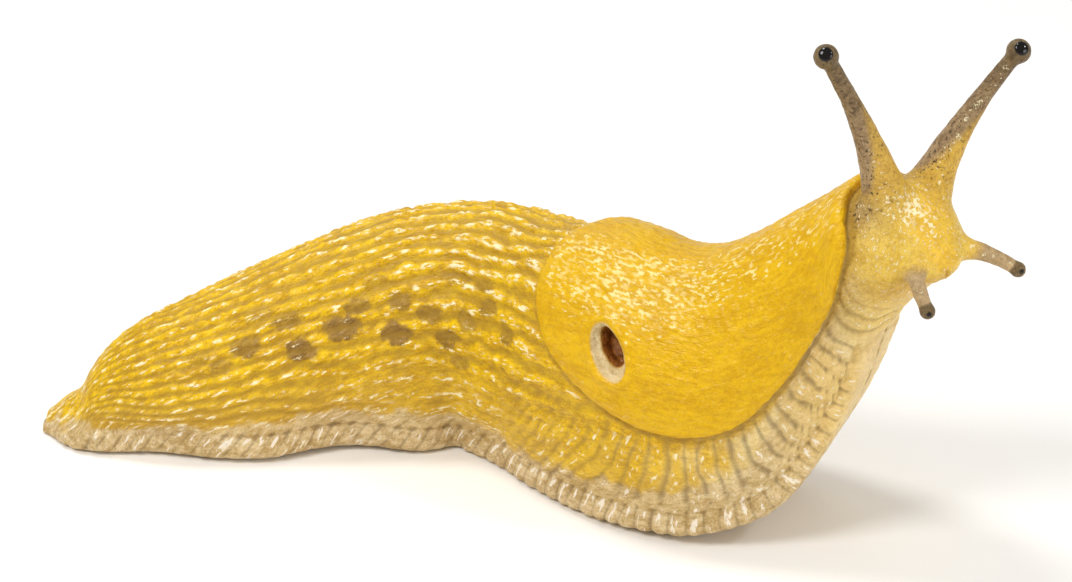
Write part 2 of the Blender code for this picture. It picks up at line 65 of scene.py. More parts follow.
# %% Stations from the tail to the snout
# Each row: name, a point of the sole, a point of the back, half width of the flesh, half width of the foot (mm)
MM = 0.001
STATIONS = [
    ("tail tip", (-51.3, 13.6, 0.0), (-51.4, 13.6, 1.7), 0.9, 1.0),
    ("tail", (-48.6, 13.2, 0.0), (-48.9, 13.2, 3.9), 2.4, 2.7),
    ("tail step", (-46.8, 12.9, 0.0), (-47.2, 13.0, 5.1), 3.3, 3.6),
    ("tail rise", (-45.4, 12.7, 0.0), (-45.8, 12.9, 7.6), 4.0, 4.3),
    ("tail root", (-43.6, 12.6, 0.0), (-44.0, 12.8, 9.9), 4.8, 5.0),
    ("hip", (-40.2, 12.8, 0.0), (-40.6, 13.1, 12.4), 6.1, 6.1),
    ("hind body", (-35.5, 13.4, 0.0), (-35.5, 13.8, 14.5), 7.4, 7.4),
    ("rump", (-25.0, 16.2, 0.0), (-25.0, 17.0, 18.0), 9.4, 9.2),
    ("hump", (-15.0, 18.6, 0.0), (-15.0, 18.9, 21.1), 10.5, 10.1),
    ("bend", (-4.8, 18.8, 0.0), (-6.0, 18.2, 22.5), 10.8, 10.4),
    ("waist", (3.0, 13.0, 0.0), (1.0, 13.2, 23.2), 10.7, 10.4),
    ("mantle rear", (8.0, 6.6, 0.0), (5.6, 7.6, 24.9), 10.6, 10.5),
    ("middle", (13.2, 1.0, 0.0), (10.0, 3.6, 25.5), 10.4, 10.5),
    ("lift", (19.4, -2.4, 0.4), (14.2, 0.8, 25.2), 10.1, 10.0),
    ("chest", (25.8, -4.2, 3.6), (18.2, -1.2, 26.0), 9.3, 8.4),
    ("neck root", (30.0, -5.6, 9.9), (21.8, -2.6, 28.2), 8.2, 6.6),
    ("neck", (32.6, -6.9, 16.6), (25.8, -4.0, 31.4), 7.0, 5.4),
    ("throat", (34.0, -8.0, 22.6), (29.8, -5.8, 35.0), 6.3, 4.6),
    ("nape", (35.0, -9.1, 25.4), (32.6, -7.3, 38.0), 6.3, 4.0),
    ("crown", (36.0, -10.4, 27.1), (35.4, -10.0, 38.6), 5.9, 3.6),
    ("brow", (36.9, -11.7, 28.7), (37.5, -12.4, 36.6), 4.8, 3.0),
    ("snout", (37.8, -12.9, 30.2), (38.5, -13.8, 33.8), 2.9, 2.0),
]


def lengths(rows):
    """The length of each row of numbers."""
    return np.linalg.norm(rows, axis=-1)


def smooth_rows(rows, steps=40):
    """A centripetal Catmull-Rom curve through the rows, paced by the first three numbers of each."""
    rows = np.vstack([2 * rows[0] - rows[1], rows, 2 * rows[-1] - rows[-2]])
    pieces = []
    for first in range(len(rows) - 3):
        quad = rows[first:first + 4]
        chords = lengths(np.diff(quad[:, :3], axis=0)) ** 0.5
        knots = np.concatenate([[0.0], np.cumsum(chords)])
        last = first == len(rows) - 4
        t = np.linspace(knots[1], knots[2], steps + last, endpoint=last)[:, None]

        def mix(a, b, low, high):
            return ((high - t) * a + (t - low) * b) / (high - low)

        edges = [mix(quad[i], quad[i + 1], knots[i], knots[i + 1]) for i in range(3)]
        middles = [mix(edges[i], edges[i + 1], knots[i], knots[i + 2]) for i in range(2)]
        pieces.append(mix(middles[0], middles[1], knots[1], knots[2]))
    return np.vstack(pieces)


def lay_out_body():
    """Distances along the middle of the body and the smoothed stations there."""
    rows = []
    for _, sole, back, half, foot_half in STATIONS:
        middle = 0.5 * (np.array(sole) + np.array(back))
        rows.append([*middle, *sole, *back, half, foot_half])
    rows = smooth_rows(np.array(rows))
    rows[:, 5] = np.maximum(rows[:, 5], 0.0)  # no sole under the floor
    runs = lengths(np.diff(rows[:, :3], axis=0))
    return np.concatenate([[0.0], np.cumsum(runs)]), rows


ALONG, ROWS = lay_out_body()
LENGTH = ALONG[-1]
print(f"the body is {LENGTH:.1f} mm long along its middle")

# %% [markdown]
# ## One section of the body
#
# At each distance the section has its own plane, from the sole up to the back. The flesh bulges over a foot that
# is a little wider than the flesh above it, with a groove between the two, as every land slug has. The tables of
# two rows give a value at distances from the tail. The foot's lower edge grows rounder where the front is raised.

# %% The plane and the outline of a section
GAP = 0.3
WIDEST = 0.42
ABOVE_FOOT = 0.15
TOP_SHARE = 0.6
GROOVE = 0.35
BELLY_CURVE = 1.8
JAW_CURVE = 0.87
BACK_SQUARE = ((0.0, 12.0, 40.0), (1.75, 1.85, 2.15))
FOOT_THICK = 3.4
FOOT_TAPER = ((0.0, 44.0, 60.0, 100.0), (0.78, 0.78, 1.0, 0.62))
EDGE_ROUND = ((62.0, 76.0), (1.0, 2.7))
THIN_SHARE = 0.42
SOLE_WAVE = 0.9
SOLE_WAVE_LENGTH = 18.2
SOLE_WAVE_CREST = 4.5
SOLE_WAVE_SPAN = (0.0, 3.0, 42.0, 52.0)


def read_rows(s):
    """The smoothed stations at distances s."""
    return np.stack([np.interp(s, ALONG, ROWS[:, k]) for k in range(ROWS.shape[1])], -1)


def frames(s, reach=5.0):
    """The section's plane at distances s: sole point, left, up, height and the two half widths."""
    row = read_rows(s)
    sole, back = row[:, 3:6], row[:, 6:9]
    ahead = read_rows(np.minimum(s + reach, LENGTH))[:, :3] - read_rows(np.maximum(s - reach, 0.0))[:, :3]
    height = lengths(back - sole)
    up = (back - sole) / height[:, None]
    side = np.cross(up, ahead)
    side /= lengths(side)[:, None]
    wave = SOLE_WAVE * np.cos(2 * math.pi * (s - SOLE_WAVE_CREST) / SOLE_WAVE_LENGTH)
    wave = wave * np.interp(s, SOLE_WAVE_SPAN, (0.0, 1.0, 1.0, 0.0))
    return sole, side, up, height, row[:, 9], row[:, 10] + wave


def frame_at(s):
    """The section's plane at one distance."""
    return [values[0] for values in frames(np.array([s]))]


def foot_thickness(s, height):
    """The foot thins towards the tail tip and towards the throat."""
    return np.minimum(FOOT_THICK, THIN_SHARE * height) * np.interp(s, *FOOT_TAPER)


def flesh(s, a, grow=0.0, to_sole=False):
    """Points on the flesh at s and a, lifted off it by grow; to_sole rounds the section off below as well."""
    s, a, grow = np.broadcast_arrays(np.asarray(s, float), np.asarray(a, float), np.asarray(grow, float))
    shape = s.shape
    s, a, grow = s.ravel(), a.ravel(), grow.ravel()
    sole, side, up, height, half, foot_half = frames(s)
    low = foot_thickness(s, height) + GAP
    middle = np.maximum(WIDEST * height, low + ABOVE_FOOT * height)
    power = np.interp(s, *BACK_SQUARE)
    turn = np.minimum(np.abs(a) / TOP_SHARE, 1.0) * math.pi / 2
    drop = np.maximum((np.abs(a) - TOP_SHARE) / (1 - TOP_SHARE), 0.0)
    half = half + grow
    out = half * np.sin(turn) ** (2 / power)
    rise = middle + (height + grow - middle) * np.cos(turn) ** (2 / power)
    if to_sole:
        out = np.where(drop > 0, half * np.cos(drop * math.pi / 2) ** JAW_CURVE, out)
        rise = rise - (middle + grow) * np.sin(drop * math.pi / 2) ** JAW_CURVE
    else:
        out = out + (foot_half - GROOVE + grow - half) * drop ** BELLY_CURVE
        rise = rise - (middle - low) * drop
    points = sole + side * (np.sign(a) * out)[:, None] + up * rise[:, None]
    return points.reshape(shape + (3,))


# %% [markdown]
# ## Closed shells to melt together
#
# Feelers that grow out of a head, or a mantle that lies on a back, are hard to model as one net of faces. It is
# easier to let simple closed shells overlap and to melt them into one with a voxel remesh. Each shell here is a
# tube: rings of points, joined side by side, with a face at each end.

# %% Tubes
def circle(parts):
    """Angles round a circle."""
    return np.linspace(0, 2 * math.pi, parts, endpoint=False)


def pole_to_pole(left_open, steps):
    """Angles from one pole of a ball to the other, but for a small opening at each."""
    return np.linspace(left_open, math.pi - left_open, steps)


def tube(rings):
    """Points and faces of a closed tube through rings with the same number of points."""
    rings = np.asarray(rings)
    count, parts = rings.shape[:2]
    near = np.arange((count - 1) * parts).reshape(count - 1, parts)
    turned = np.roll(near, -1, axis=1)
    sides = np.stack([near, turned, turned + parts, near + parts], -1).reshape(-1, 4)
    ends = [list(range(parts))[::-1], list(range((count - 1) * parts, count * parts))]
    return rings.reshape(-1, 3), sides.tolist() + ends


def placed(name, data):
    """A new object in the scene."""
    thing = bpy.data.objects.new(name, data)
    bpy.context.collection.objects.link(thing)
    return thing


def new_mesh(name, shells):
    """One mesh from several shells."""
    points, faces = [], []
    for shell_points, shell_faces in shells:
        start = sum(len(p) for p in points)
        points.append(shell_points)
        faces += [[start + corner for corner in face] for face in shell_faces]
    mesh = bpy.data.meshes.new(name)
    mesh.from_pydata(np.vstack(points).tolist(), [], faces)
    return mesh


# %% The flesh, the foot and the head
SKIN_STEP = 0.6
HEAD_FROM = 94.0
FOOT_TO = 101.0
SOLE_INSET = 0.9
SOLE_EDGE = ((1.0, 0.0), (0.5, 0.06), (0.15, 0.24), (0.0, 0.4), (0.0, 0.65))
GROOVE_EDGE = ((0.3, 0.88), (1.0, 1.0))
INSET_LIMIT = 0.3
FLESH_TUCK = 2.5
FOOT_TUCK = 1.3
SNOUT_RINGS = ((0.5, 0.95), (0.9, 0.82), (1.2, 0.62), (1.4, 0.38), (1.5, 0.12))


def flesh_section(s):
    """The flesh above the foot, closed by two points that dip into the foot."""
    over = flesh(s, np.linspace(-1.0, 1.0, 61))
    sole, side, up, height, _, foot_half = frame_at(s)
    rise = 0.5 * foot_thickness(s, height)
    out = foot_half - FLESH_TUCK * GROOVE * min(1.0, foot_half / 3)
    return np.vstack([over, [sole + side * out + up * rise, sole - side * out + up * rise]])


def foot_section(s):
    """The foot, with a rounded lower edge, reaching up into the flesh."""
    sole, side, up, height, _, foot_half = frame_at(s)
    thick = foot_thickness(s, height)
    inset = min(SOLE_INSET * np.interp(s, *EDGE_ROUND), INSET_LIMIT * foot_half)
    outline = [(foot_half - share * inset, level * thick) for share, level in SOLE_EDGE]
    outline += [(foot_half - share * GROOVE, level * thick) for share, level in GROOVE_EDGE]
    outline += [(foot_half - FOOT_TUCK * GROOVE, thick + 1.5 * GAP)]
    left = [sole + side * out + up * rise for out, rise in outline]
    right = [sole - side * out + up * rise for out, rise in reversed(outline)]
    ring = np.array(left + right)
    ring[:, 2] = np.maximum(ring[:, 2], 0.0)
    return ring


def head_rings():
    """The head, round below as well, with rings that close the snout."""
    around = np.linspace(-1, 1, 49)[:-1]
    rings = [flesh(s, around, to_sole=True) for s in np.arange(HEAD_FROM, LENGTH, SKIN_STEP)]
    heart, forward, *_ = snout_frame()
    snout = flesh(LENGTH, around, to_sole=True)
    return rings + [snout] + [heart + (snout - heart) * size + forward * out for out, size in SNOUT_RINGS]


def snout_frame():
    """The middle of the last section of the head, with forward, left and up there."""
    sole, side, up, height, *_ = frame_at(LENGTH)
    return sole + 0.5 * height * up, np.cross(side, up), side, up


body_places = np.arange(0.6, LENGTH - 4.0, SKIN_STEP)
shells = [tube([flesh_section(s) for s in body_places])]
shells.append(tube([foot_section(s) for s in np.arange(0.0, FOOT_TO, SKIN_STEP)]))
shells.append(tube(head_rings()))
print("shells of the body", [len(points) for points, _ in shells])

# %% [markdown]
# ## The mantle
#
# The mantle is a fleshy shield over the front of the back. On the real animal its rim is free: it stands a
# millimetre or two off the flank, rolls under, and throws a thin shadow. So it is a shell of its own whose inner
# side is sunk in the back and whose rim bulges out over a small undercut.

# %% The mantle's shell
MANTLE_MIDDLE = 83.0
MANTLE_REAR = 18.4
MANTLE_FRONT = 21.6
FRONT_SWEEP = 3.4
MANTLE_REACH = 0.585
MANTLE_TOP = 1.7
REAR_ROUND = 2.4
FRONT_ROUND = 8.0
MANTLE_SIDES = 120
MANTLE_SUNK = -1.2
MANTLE_RIM = (
    (0.955, -0.6), (0.975, 0.05), (0.99, 0.3), (1.002, 0.6), (1.004, 0.9), (0.997, 1.2), (0.98, 1.45), (0.95, 1.62),
)


def mantle_place(share, turn):
    """Body coordinates on the mantle: share runs from 0 in the middle to 1 at the edge."""
    along, across = math.cos(turn), math.sin(turn)
    power = FRONT_ROUND if along > 0 else REAR_ROUND
    size = share / (abs(along) ** power + abs(across) ** power) ** (1 / power)
    width = size * across
    half = MANTLE_FRONT + FRONT_SWEEP * width ** 2 if along > 0 else MANTLE_REAR
    return MANTLE_MIDDLE + half * size * along, MANTLE_REACH * width


def mantle_rings():
    """Rings from the sunk inner side round the rim and over the top."""
    inner = [(share, MANTLE_SUNK) for share in np.linspace(0.04, 0.93, 18)]
    outer = [(share, MANTLE_TOP) for share in np.linspace(0.92, 0.04, 24)]
    rings = []
    for share, lift in [*inner, *MANTLE_RIM, *outer]:
        places = np.array([mantle_place(share, turn) for turn in circle(MANTLE_SIDES)])
        rings.append(flesh(places[:, 0], places[:, 1], lift))
    return rings


mantle_shell = tube(mantle_rings())
print("mantle shell", len(mantle_shell[0]), "points")

# %% [markdown]
# ## Feelers, lips and the breathing pore
#
# A slug's four feelers are hollow tubes of skin that it rolls out like a glove's fingers. Each is wide and soft
# at its root and ends in a bulb, which carries an eye on the upper pair. A quadratic curve with a radius at each
# share of the way is enough for them.

# %% The four feelers
# Radii: share of the way from root to tip, radius (mm). Feelers: root, bend and tip (mm), radii, radius of the bulb
UPPER_RADII = ((0.0, 1.5), (0.08, 2.2), (0.16, 2.5), (0.24, 2.25), (0.34, 1.8), (0.5, 1.34), (0.75, 0.9), (1.0, 0.74))
LOWER_RADII = ((0.0, 1.9), (0.2, 1.6), (0.4, 1.15), (0.65, 0.8), (1.0, 0.66))
UPPER_BULB = 1.24
LOWER_BULB = 0.82
FEELERS = {
    "upper_right": ((33.8, -10.6, 34.9), (32.2, -11.2, 43.6), (26.8, -14.1, 53.6), UPPER_RADII, UPPER_BULB),
    "upper_left": ((36.7, -8.0, 34.9), (38.9, -6.4, 42.1), (45.7, -5.3, 50.5), UPPER_RADII, UPPER_BULB),
    "lower_right": ((35.6, -12.6, 33.2), (35.2, -16.2, 32.8), (36.9, -17.6, 29.1), LOWER_RADII, LOWER_BULB),
    "lower_left": ((38.2, -10.6, 32.5), (42.2, -10.2, 32.7), (46.1, -10.8, 30.2), LOWER_RADII, LOWER_BULB),
}


def feeler_line(root, bend, tip, shares):
    """Points on a feeler's curve and its directions there."""
    root, bend, tip = np.array(root), np.array(bend), np.array(tip)
    t = np.asarray(shares)[:, None]
    points = (1 - t) ** 2 * root + 2 * t * (1 - t) * bend + t * t * tip
    ways = (1 - t) * (bend - root) + t * (tip - bend)
    return points, ways / lengths(ways)[:, None]


def ring_round(centre, way, radius, parts=28):
    """A circle of points round a direction."""
    across = np.cross(way, (0.0, 0.0, 1.0) if abs(way[2]) < 0.9 else (1.0, 0.0, 0.0))
    across /= lengths(across)
    other = np.cross(way, across)
    turns = circle(parts)[:, None]
    return centre + radius * (np.cos(turns) * across + np.sin(turns) * other)


def feeler_shells(root, bend, tip, radii, bulb):
    """A feeler's shaft and the bulb at its end."""
    shares = np.linspace(0, 1, 45)
    points, ways = feeler_line(root, bend, tip, shares)
    sizes = np.interp(shares, *zip(*radii))
    shaft = tube([ring_round(p, way, size) for p, way, size in zip(points, ways, sizes)])
    turns = pole_to_pole(0.08, 24)
    ball = tube([ring_round(points[-1] - ways[-1] * bulb * math.cos(u), ways[-1], bulb * math.sin(u)) for u in turns])
    return [shaft, ball]


for feeler in FEELERS.values():
    shells += feeler_shells(*feeler)

# %% The lips
LIP_RADII = (1.15, 1.15, 1.2)
LIP_APART = 1.1
LIP_DROP = 0.7


def egg(centre, axes, radii):
    """An egg with its own three axes."""
    rings = []
    for u in pole_to_pole(0.1, 20):
        turns = circle(28)
        ring = np.stack([np.cos(turns), np.sin(turns), np.full(len(turns), -math.cos(u))], 1)
        ring[:, :2] *= math.sin(u)
        rings.append(centre + (ring * np.array(radii)) @ np.array(axes))
    return tube(rings)


heart, forward, leftward, upward = snout_frame()
mouth = heart - upward * LIP_DROP
for way in (-1, 1):
    shells.append(egg(mouth + leftward * LIP_APART * way, (forward, leftward, upward), LIP_RADII))

# %% [markdown]
# The pore is the slug's only nostril. Its oval mouth has a soft raised rim, a pale wall, and a dark hole that
# runs forward into the body. The hole is cut out of the shells with a Boolean before they melt together, because
# a cut made then comes out rounded, like flesh.

# %% The breathing pore
PORE_ALONG = 74.8
PORE_AROUND = -0.40
PORE_LONG = 3.15
PORE_SHORT = 1.7
PORE_TILT = math.radians(25)
PORE_RIM = 0.42
RIM_SUNK = 0.22
PORE_WALL = ((1.4, 1.3), (0.25, 1.04), (-0.3, 0.9), (-0.75, 0.84))
PORE_HOLE = ((-0.6, 0.7), (-1.0, 0.68), (-2.6, 0.58))
HOLE_FORWARD = 0.45
HOLE_UP = 0.55
MERGE_DISTANCE = 1e-5


def pore_frame():
    """The pore's centre on the mantle, with its long axis, its short axis and the way out."""
    step = 0.01
    centre = flesh(PORE_ALONG, PORE_AROUND, MANTLE_TOP)
    along = flesh(PORE_ALONG + step, PORE_AROUND, MANTLE_TOP) - centre
    down = flesh(PORE_ALONG, PORE_AROUND - step * 0.1, MANTLE_TOP) - centre
    outward = Vector(np.cross(along, down)).normalized()
    outward = -outward if outward.y > 0 else outward
    down = Vector(down)
    down = Matrix.Rotation(PORE_TILT, 3, outward) @ (down - down.dot(outward) * outward).normalized()
    return centre, np.array(down), np.array(outward.cross(down)), np.array(outward)


pore_centre, pore_down, pore_across, pore_out = pore_frame()
pore_forward = pore_across if pore_across[0] > 0 else -pore_across


def oval(depth, long_half, short_half, shift=0.0, parts=40):
    """An oval ring about the pore; shift moves it forward and up by a share of the hole's offset."""
    turns = circle(parts)[:, None]
    flat = pore_down * long_half * np.cos(turns) + pore_across * short_half * np.sin(turns)
    return pore_centre + flat + pore_out * depth + shift * (pore_forward * HOLE_FORWARD - pore_down * HOLE_UP)


def pore_rim():
    """A soft ring that lies round the pore."""
    loops = []
    for turn in circle(12):
        swell = PORE_RIM * (1 + math.cos(turn))
        loops.append(oval(PORE_RIM * math.sin(turn) - RIM_SUNK, PORE_LONG + swell, PORE_SHORT + swell))
    points, faces = tube(loops + loops[:1])
    return points, faces[:-2]


def evaluated(thing):
    """A new mesh of an object as its modifiers leave it."""
    bpy.context.view_layer.update()
    return bpy.data.meshes.new_from_object(thing.evaluated_get(bpy.context.evaluated_depsgraph_get()))


def cut(mesh, cutter):
    """The mesh with the cutter's room taken out."""
    target, tool = placed("target", mesh), placed("tool", cutter)
    modifier = target.modifiers.new("cut", "BOOLEAN")
    modifier.operation = "DIFFERENCE"
    modifier.solver = "EXACT"
    modifier.object = tool
    result = evaluated(target)
    bpy.data.objects.remove(target)
    bpy.data.objects.remove(tool)
    return result


def outward_mesh(name, parts):
    """A mesh whose faces all look outwards."""
    mesh = new_mesh(name, parts)
    soft = bmesh.new()
    soft.from_mesh(mesh)
    bmesh.ops.remove_doubles(soft, verts=soft.verts, dist=MERGE_DISTANCE)
    bmesh.ops.recalc_face_normals(soft, faces=soft.faces)
    soft.to_mesh(mesh)
    soft.free()
    return mesh


shells[0], mantle_shell = outward_mesh("flesh", [shells[0]]), outward_mesh("mantle", [mantle_shell])
for depth_sizes, shift in ((PORE_WALL, 0.0), (PORE_HOLE, 1.0)):
    cutter_rings = [oval(depth, PORE_LONG * size, PORE_SHORT * size, shift) for depth, size in depth_sizes]
    cutter = outward_mesh("pore cutter", [tube(cutter_rings)])
    shells[0], mantle_shell = cut(shells[0], cutter), cut(mantle_shell, cutter)
print("cut for the pore", len(shells[0].vertices), len(mantle_shell.vertices))

# %% [markdown]
# ## Melting the shells into one skin
#
# A voxel remesh keeps only the outside of the overlapping shells and gives even small squares, which take fine
# relief well. Its squares here are 0.2 mm, about two pixels of the picture. The corners that it leaves where a
# feeler meets the head are then relaxed: each point moves towards the middle of its neighbours, many times near
# the roots and only a few times elsewhere.

# %% Voxel remesh
VOXEL = 0.2


def read(elements, field, width, kind=float):
    """One field of a mesh's vertices or edges, a row for each."""
    values = np.zeros(len(elements) * width, kind)
    elements.foreach_get(field, values)
    return values.reshape(-1, width)


def parts_of(mesh):
    """A mesh as points and faces."""
    return read(mesh.vertices, "co", 3), [list(face.vertices) for face in mesh.polygons]


def melted(name, parts):
    """One closed mesh round all the shells."""
    thing = placed(name, new_mesh(name, parts))
    modifier = thing.modifiers.new("melt", "REMESH")
    modifier.mode = "VOXEL"
    modifier.voxel_size = VOXEL
    mesh = evaluated(thing)
    thing.modifiers.clear()
    thing.data = mesh
    return thing


skin = melted("slug_skin", [parts_of(shells[0]), parts_of(mantle_shell), *shells[1:], pore_rim()])
points = read(skin.data.vertices, "co", 3)
edges = read(skin.data.edges, "vertices", 2, int)
print("melted skin", len(points), "points")

# %% Relax the joints
ROOT_SOFT = 4.2
ROOT_ROUNDS = 60
ROOT_PULL = 0.6
LIP_SOFT = 0.45
LIP_NEAR = (3.4, 2.4)
ALL_ROUNDS = 5
ALL_PULL = 0.5


def smooth_step(low, high, x):
    """Rises smoothly from 0 at low to 1 at high, or falls where low is the greater."""
    t = np.clip((x - low) / (high - low), 0.0, 1.0)
    return t * t * (3 - 2 * t)


def neighbour_mean(values):
    """Each point's neighbours' mean of some values, one column at a time."""
    degree = np.bincount(edges.ravel(), minlength=len(points))
    columns = []
    for column in np.atleast_2d(values.T):
        total = np.bincount(edges[:, 0], weights=column[edges[:, 1]], minlength=len(points))
        total += np.bincount(edges[:, 1], weights=column[edges[:, 0]], minlength=len(points))
        columns.append(total / degree)
    return np.stack(columns, -1).reshape(values.shape)


def relaxed(places, strength, rounds):
    """The places moved towards their neighbours' middle, by a strength of their own."""
    for _ in range(rounds):
        places = places + strength[:, None] * (neighbour_mean(places) - places)
    return places


soft = LIP_SOFT * smooth_step(*LIP_NEAR, lengths(points - mouth))
for root, bend, tip, radii, _ in FEELERS.values():
    joint = feeler_line(root, bend, tip, [0.2 if radii is UPPER_RADII else 0.1])[0][0]
    soft = np.maximum(soft, smooth_step(ROOT_SOFT, 0.5 * ROOT_SOFT, lengths(points - joint)))
points = relaxed(points, ROOT_PULL * soft, ROOT_ROUNDS)
points = relaxed(points, np.full(len(points), ALL_PULL), ALL_ROUNDS)

# %% [markdown]
# ## Where each point of the skin lies on the body
#
# The remesh forgets s and a, so every point looks up the nearest place on a smooth guide surface and takes them
# from there. With them come the height off the flesh, the height over the sole, and the share of the way to the
# mantle's rim. RUN and TURN are the way along the skin and around it in millimetres, GIRTH is the way from the back
# to the groove, and level is TURN as a share of it. All the relief and all the colours are functions of these.

# %% Body coordinates of every point
GUIDE_S = np.linspace(0.0, LENGTH, 240)
GUIDE_A = np.linspace(-1.0, 1.0, 97)
guide = flesh(GUIDE_S[:, None], GUIDE_A[None, :])
guide_points, guide_faces = guide.reshape(-1, 3), []
for i, j in itertools.product(range(len(GUIDE_S) - 1), range(len(GUIDE_A) - 1)):
    corner = i * len(GUIDE_A) + j
    guide_faces.append((corner, corner + len(GUIDE_A), corner + len(GUIDE_A) + 1, corner + 1))
guide_tree = BVHTree.FromPolygons(guide_points.tolist(), guide_faces)
hits = [guide_tree.find_nearest(place) for place in points.tolist()]
nearest = np.array([hit[0] for hit in hits])
face = np.array([hit[2] for hit in hits])
i, j = face // (len(GUIDE_A) - 1), face % (len(GUIDE_A) - 1)
corner, along_s, along_a = guide[i, j], guide[i + 1, j] - guide[i, j], guide[i, j + 1] - guide[i, j]
ss, aa, sa = [np.einsum("ij,ij->i", u, v) for u, v in ((along_s, along_s), (along_a, along_a), (along_s, along_a))]
ps, pa = [np.einsum("ij,ij->i", nearest - corner, v) for v in (along_s, along_a)]
spread = np.maximum(ss * aa - sa * sa, 1e-12)
part_s = np.clip((ps * aa - pa * sa) / spread, 0, 1)
part_a = np.clip((pa * ss - ps * sa) / spread, 0, 1)
S = GUIDE_S[i] + (GUIDE_S[1] - GUIDE_S[0]) * part_s
A = GUIDE_A[j] + (GUIDE_A[1] - GUIDE_A[0]) * part_a
sole, side, up, height, _, foot_half = frames(S)
rise = np.einsum("ij,ij->i", points - sole, up)
out = np.einsum("ij,ij->i", points - sole, side)
groove_level = foot_thickness(S, height) + 0.5 * GAP
lift = lengths(points - nearest)


def on_guide(table):
    """A table over the guide, read at every point."""
    low = table[i, j] * (1 - part_a) + table[i, j + 1] * part_a
    high = table[i + 1, j] * (1 - part_a) + table[i + 1, j + 1] * part_a
    return low * (1 - part_s) + high * part_s


run_steps = lengths(np.diff(guide, axis=0))
turn_steps = lengths(np.diff(guide, axis=1))
run_table = np.vstack([np.zeros((1, len(GUIDE_A))), np.cumsum(run_steps, axis=0)])
turn_table = np.hstack([np.zeros((len(GUIDE_S), 1)), np.cumsum(turn_steps, axis=1)])
turn_table -= turn_table[:, [len(GUIDE_A) // 2]]
RUN = on_guide(run_table)
TURN = on_guide(turn_table)
GIRTH = np.interp(S, GUIDE_S, turn_table[:, -1])
level = np.abs(TURN) / GIRTH
print("s", S.min().round(1), S.max().round(1), "a", A.min().round(2), A.max().round(2))

# %% Zones of the skin
MANTLE_EDGE = (1.09, 1.03)
MANTLE_LIFT = (0.25, 0.6)
FOOT_EDGE = (0.25, -0.15)
FOOT_ENDS = (102.0, 98.0)
UNDERSIDE = (0.94, 0.82)
HEAD_BEGINS = (98.0, 103.0)
FEELER_NEAR = 14.0
UPPER_LIMITS = ((1.9, 1.35), (0.12, 0.3))
LOWER_LIMITS = ((1.35, 1.05), (0.36, 0.6))
BULB_FROM = 70
BULB_EDGE = (1.25, 1.1)


def along(start, whole, fading, end):
    """Rises along the body from 0 at start to 1 at whole, and falls again from fading to 0 at end."""
    return smooth_step(start, whole, S) * smooth_step(end, fading, S)


power = np.where(S > MANTLE_MIDDLE, FRONT_ROUND, REAR_ROUND)
mantle_half = np.where(S > MANTLE_MIDDLE, MANTLE_FRONT + FRONT_SWEEP * (A / MANTLE_REACH) ** 2, MANTLE_REAR)
to_rim = (np.abs((S - MANTLE_MIDDLE) / mantle_half) ** power + np.abs(A / MANTLE_REACH) ** power) ** (1 / power)
mantle = smooth_step(*MANTLE_EDGE, to_rim) * smooth_step(*MANTLE_LIFT, lift)
foot = smooth_step(*FOOT_EDGE, rise - groove_level) * smooth_step(*FOOT_ENDS, S)
underside = foot * smooth_step(*UNDERSIDE, np.abs(out) / foot_half)
feeler, feeler_share, lower_feeler, bulb = [np.zeros(len(points)) for _ in range(4)]
for root, bend, tip, radii, size in FEELERS.values():
    shares = np.linspace(0, 1, 81)
    line, ways = feeler_line(root, bend, tip, shares)
    near = np.where(lengths(points - line[len(line) // 2]) < FEELER_NEAR)[0]
    apart = lengths(points[near, None] - line[None])
    at = apart.argmin(axis=1)
    radius = np.maximum(np.interp(shares[at], *zip(*radii)), size * (at > BULB_FROM))
    reach, start = UPPER_LIMITS if radii is UPPER_RADII else LOWER_LIMITS
    strength = smooth_step(*reach, apart.min(axis=1) / radius) * smooth_step(*start, shares[at])
    larger = strength > feeler[near]
    feeler[near] = np.maximum(feeler[near], strength)
    feeler_share[near] = np.where(larger, shares[at], feeler_share[near])
    lower_feeler[near] = np.where(larger, float(radii is LOWER_RADII), lower_feeler[near])
    to_tip = lengths(points[near] - line[-1]) / size
    bulb[near] = np.maximum(bulb[near], smooth_step(*BULB_EDGE, to_tip))
mantle = mantle * (1 - feeler)
off_mantle = 1 - mantle
head = smooth_step(*HEAD_BEGINS, S) * off_mantle
for name, zone in (("mantle", mantle), ("foot", foot), ("feelers", feeler)):
    print("points in the", name, int((zone > 0.5).sum()))

# %% [markdown]
# ## The relief of the skin
#
# Long tubercles stand in rows over the hind body and run together at the tail. The flank under the mantle and the
# neck have cross folds instead, the rim of the foot has short slanted ribs, the raised sole is smooth, and the
# mantle is only finely grained. A sculpted or painted bump could give all of this, but relief that moves the points
# themselves also shows in the outline and throws real shadows. It is worked out as a height in millimetres and added
# along the normals. Each layer of noise is given as its height, the size of its humps and a seed.

# %% Smooth noise and ridges
NOISE_KEYS = np.array([12.9898, 78.233, 37.719])


def noise(places, size, seed=0.0):
    """Smooth noise from -1 to 1, with humps about as wide as size. The same places give the same noise."""
    spots = places / size + 17.31 * (seed + 1)
    cell = np.floor(spots)
    part = spots - cell
    part = part * part * (3 - 2 * part)
    total = np.zeros(len(places))
    for step in itertools.product((0.0, 1.0), repeat=places.shape[1]):
        value = np.sin((cell + step) @ NOISE_KEYS[:places.shape[1]]) * 43758.5453
        weight = np.prod(np.where(np.array(step) > 0, part, 1 - part), axis=1)
        total += weight * (value - np.floor(value))
    return 2 * total - 1


def layers(places, *noises):
    """A sum of noises, each given as its height, the size of its humps and its seed."""
    return sum(height * noise(places, size, seed) for height, size, seed in noises)


def ridges(at, sharpness):
    """Ridges that reach 1 at the whole numbers, and are the thinner the greater their sharpness."""
    return (0.5 + 0.5 * np.cos(2 * math.pi * at)) ** sharpness


def notches(at, width):
    """Notches down to 0 at the whole numbers, as wide as a share of the way between them."""
    return smooth_step(0.0, width, np.abs(at - np.round(at)))


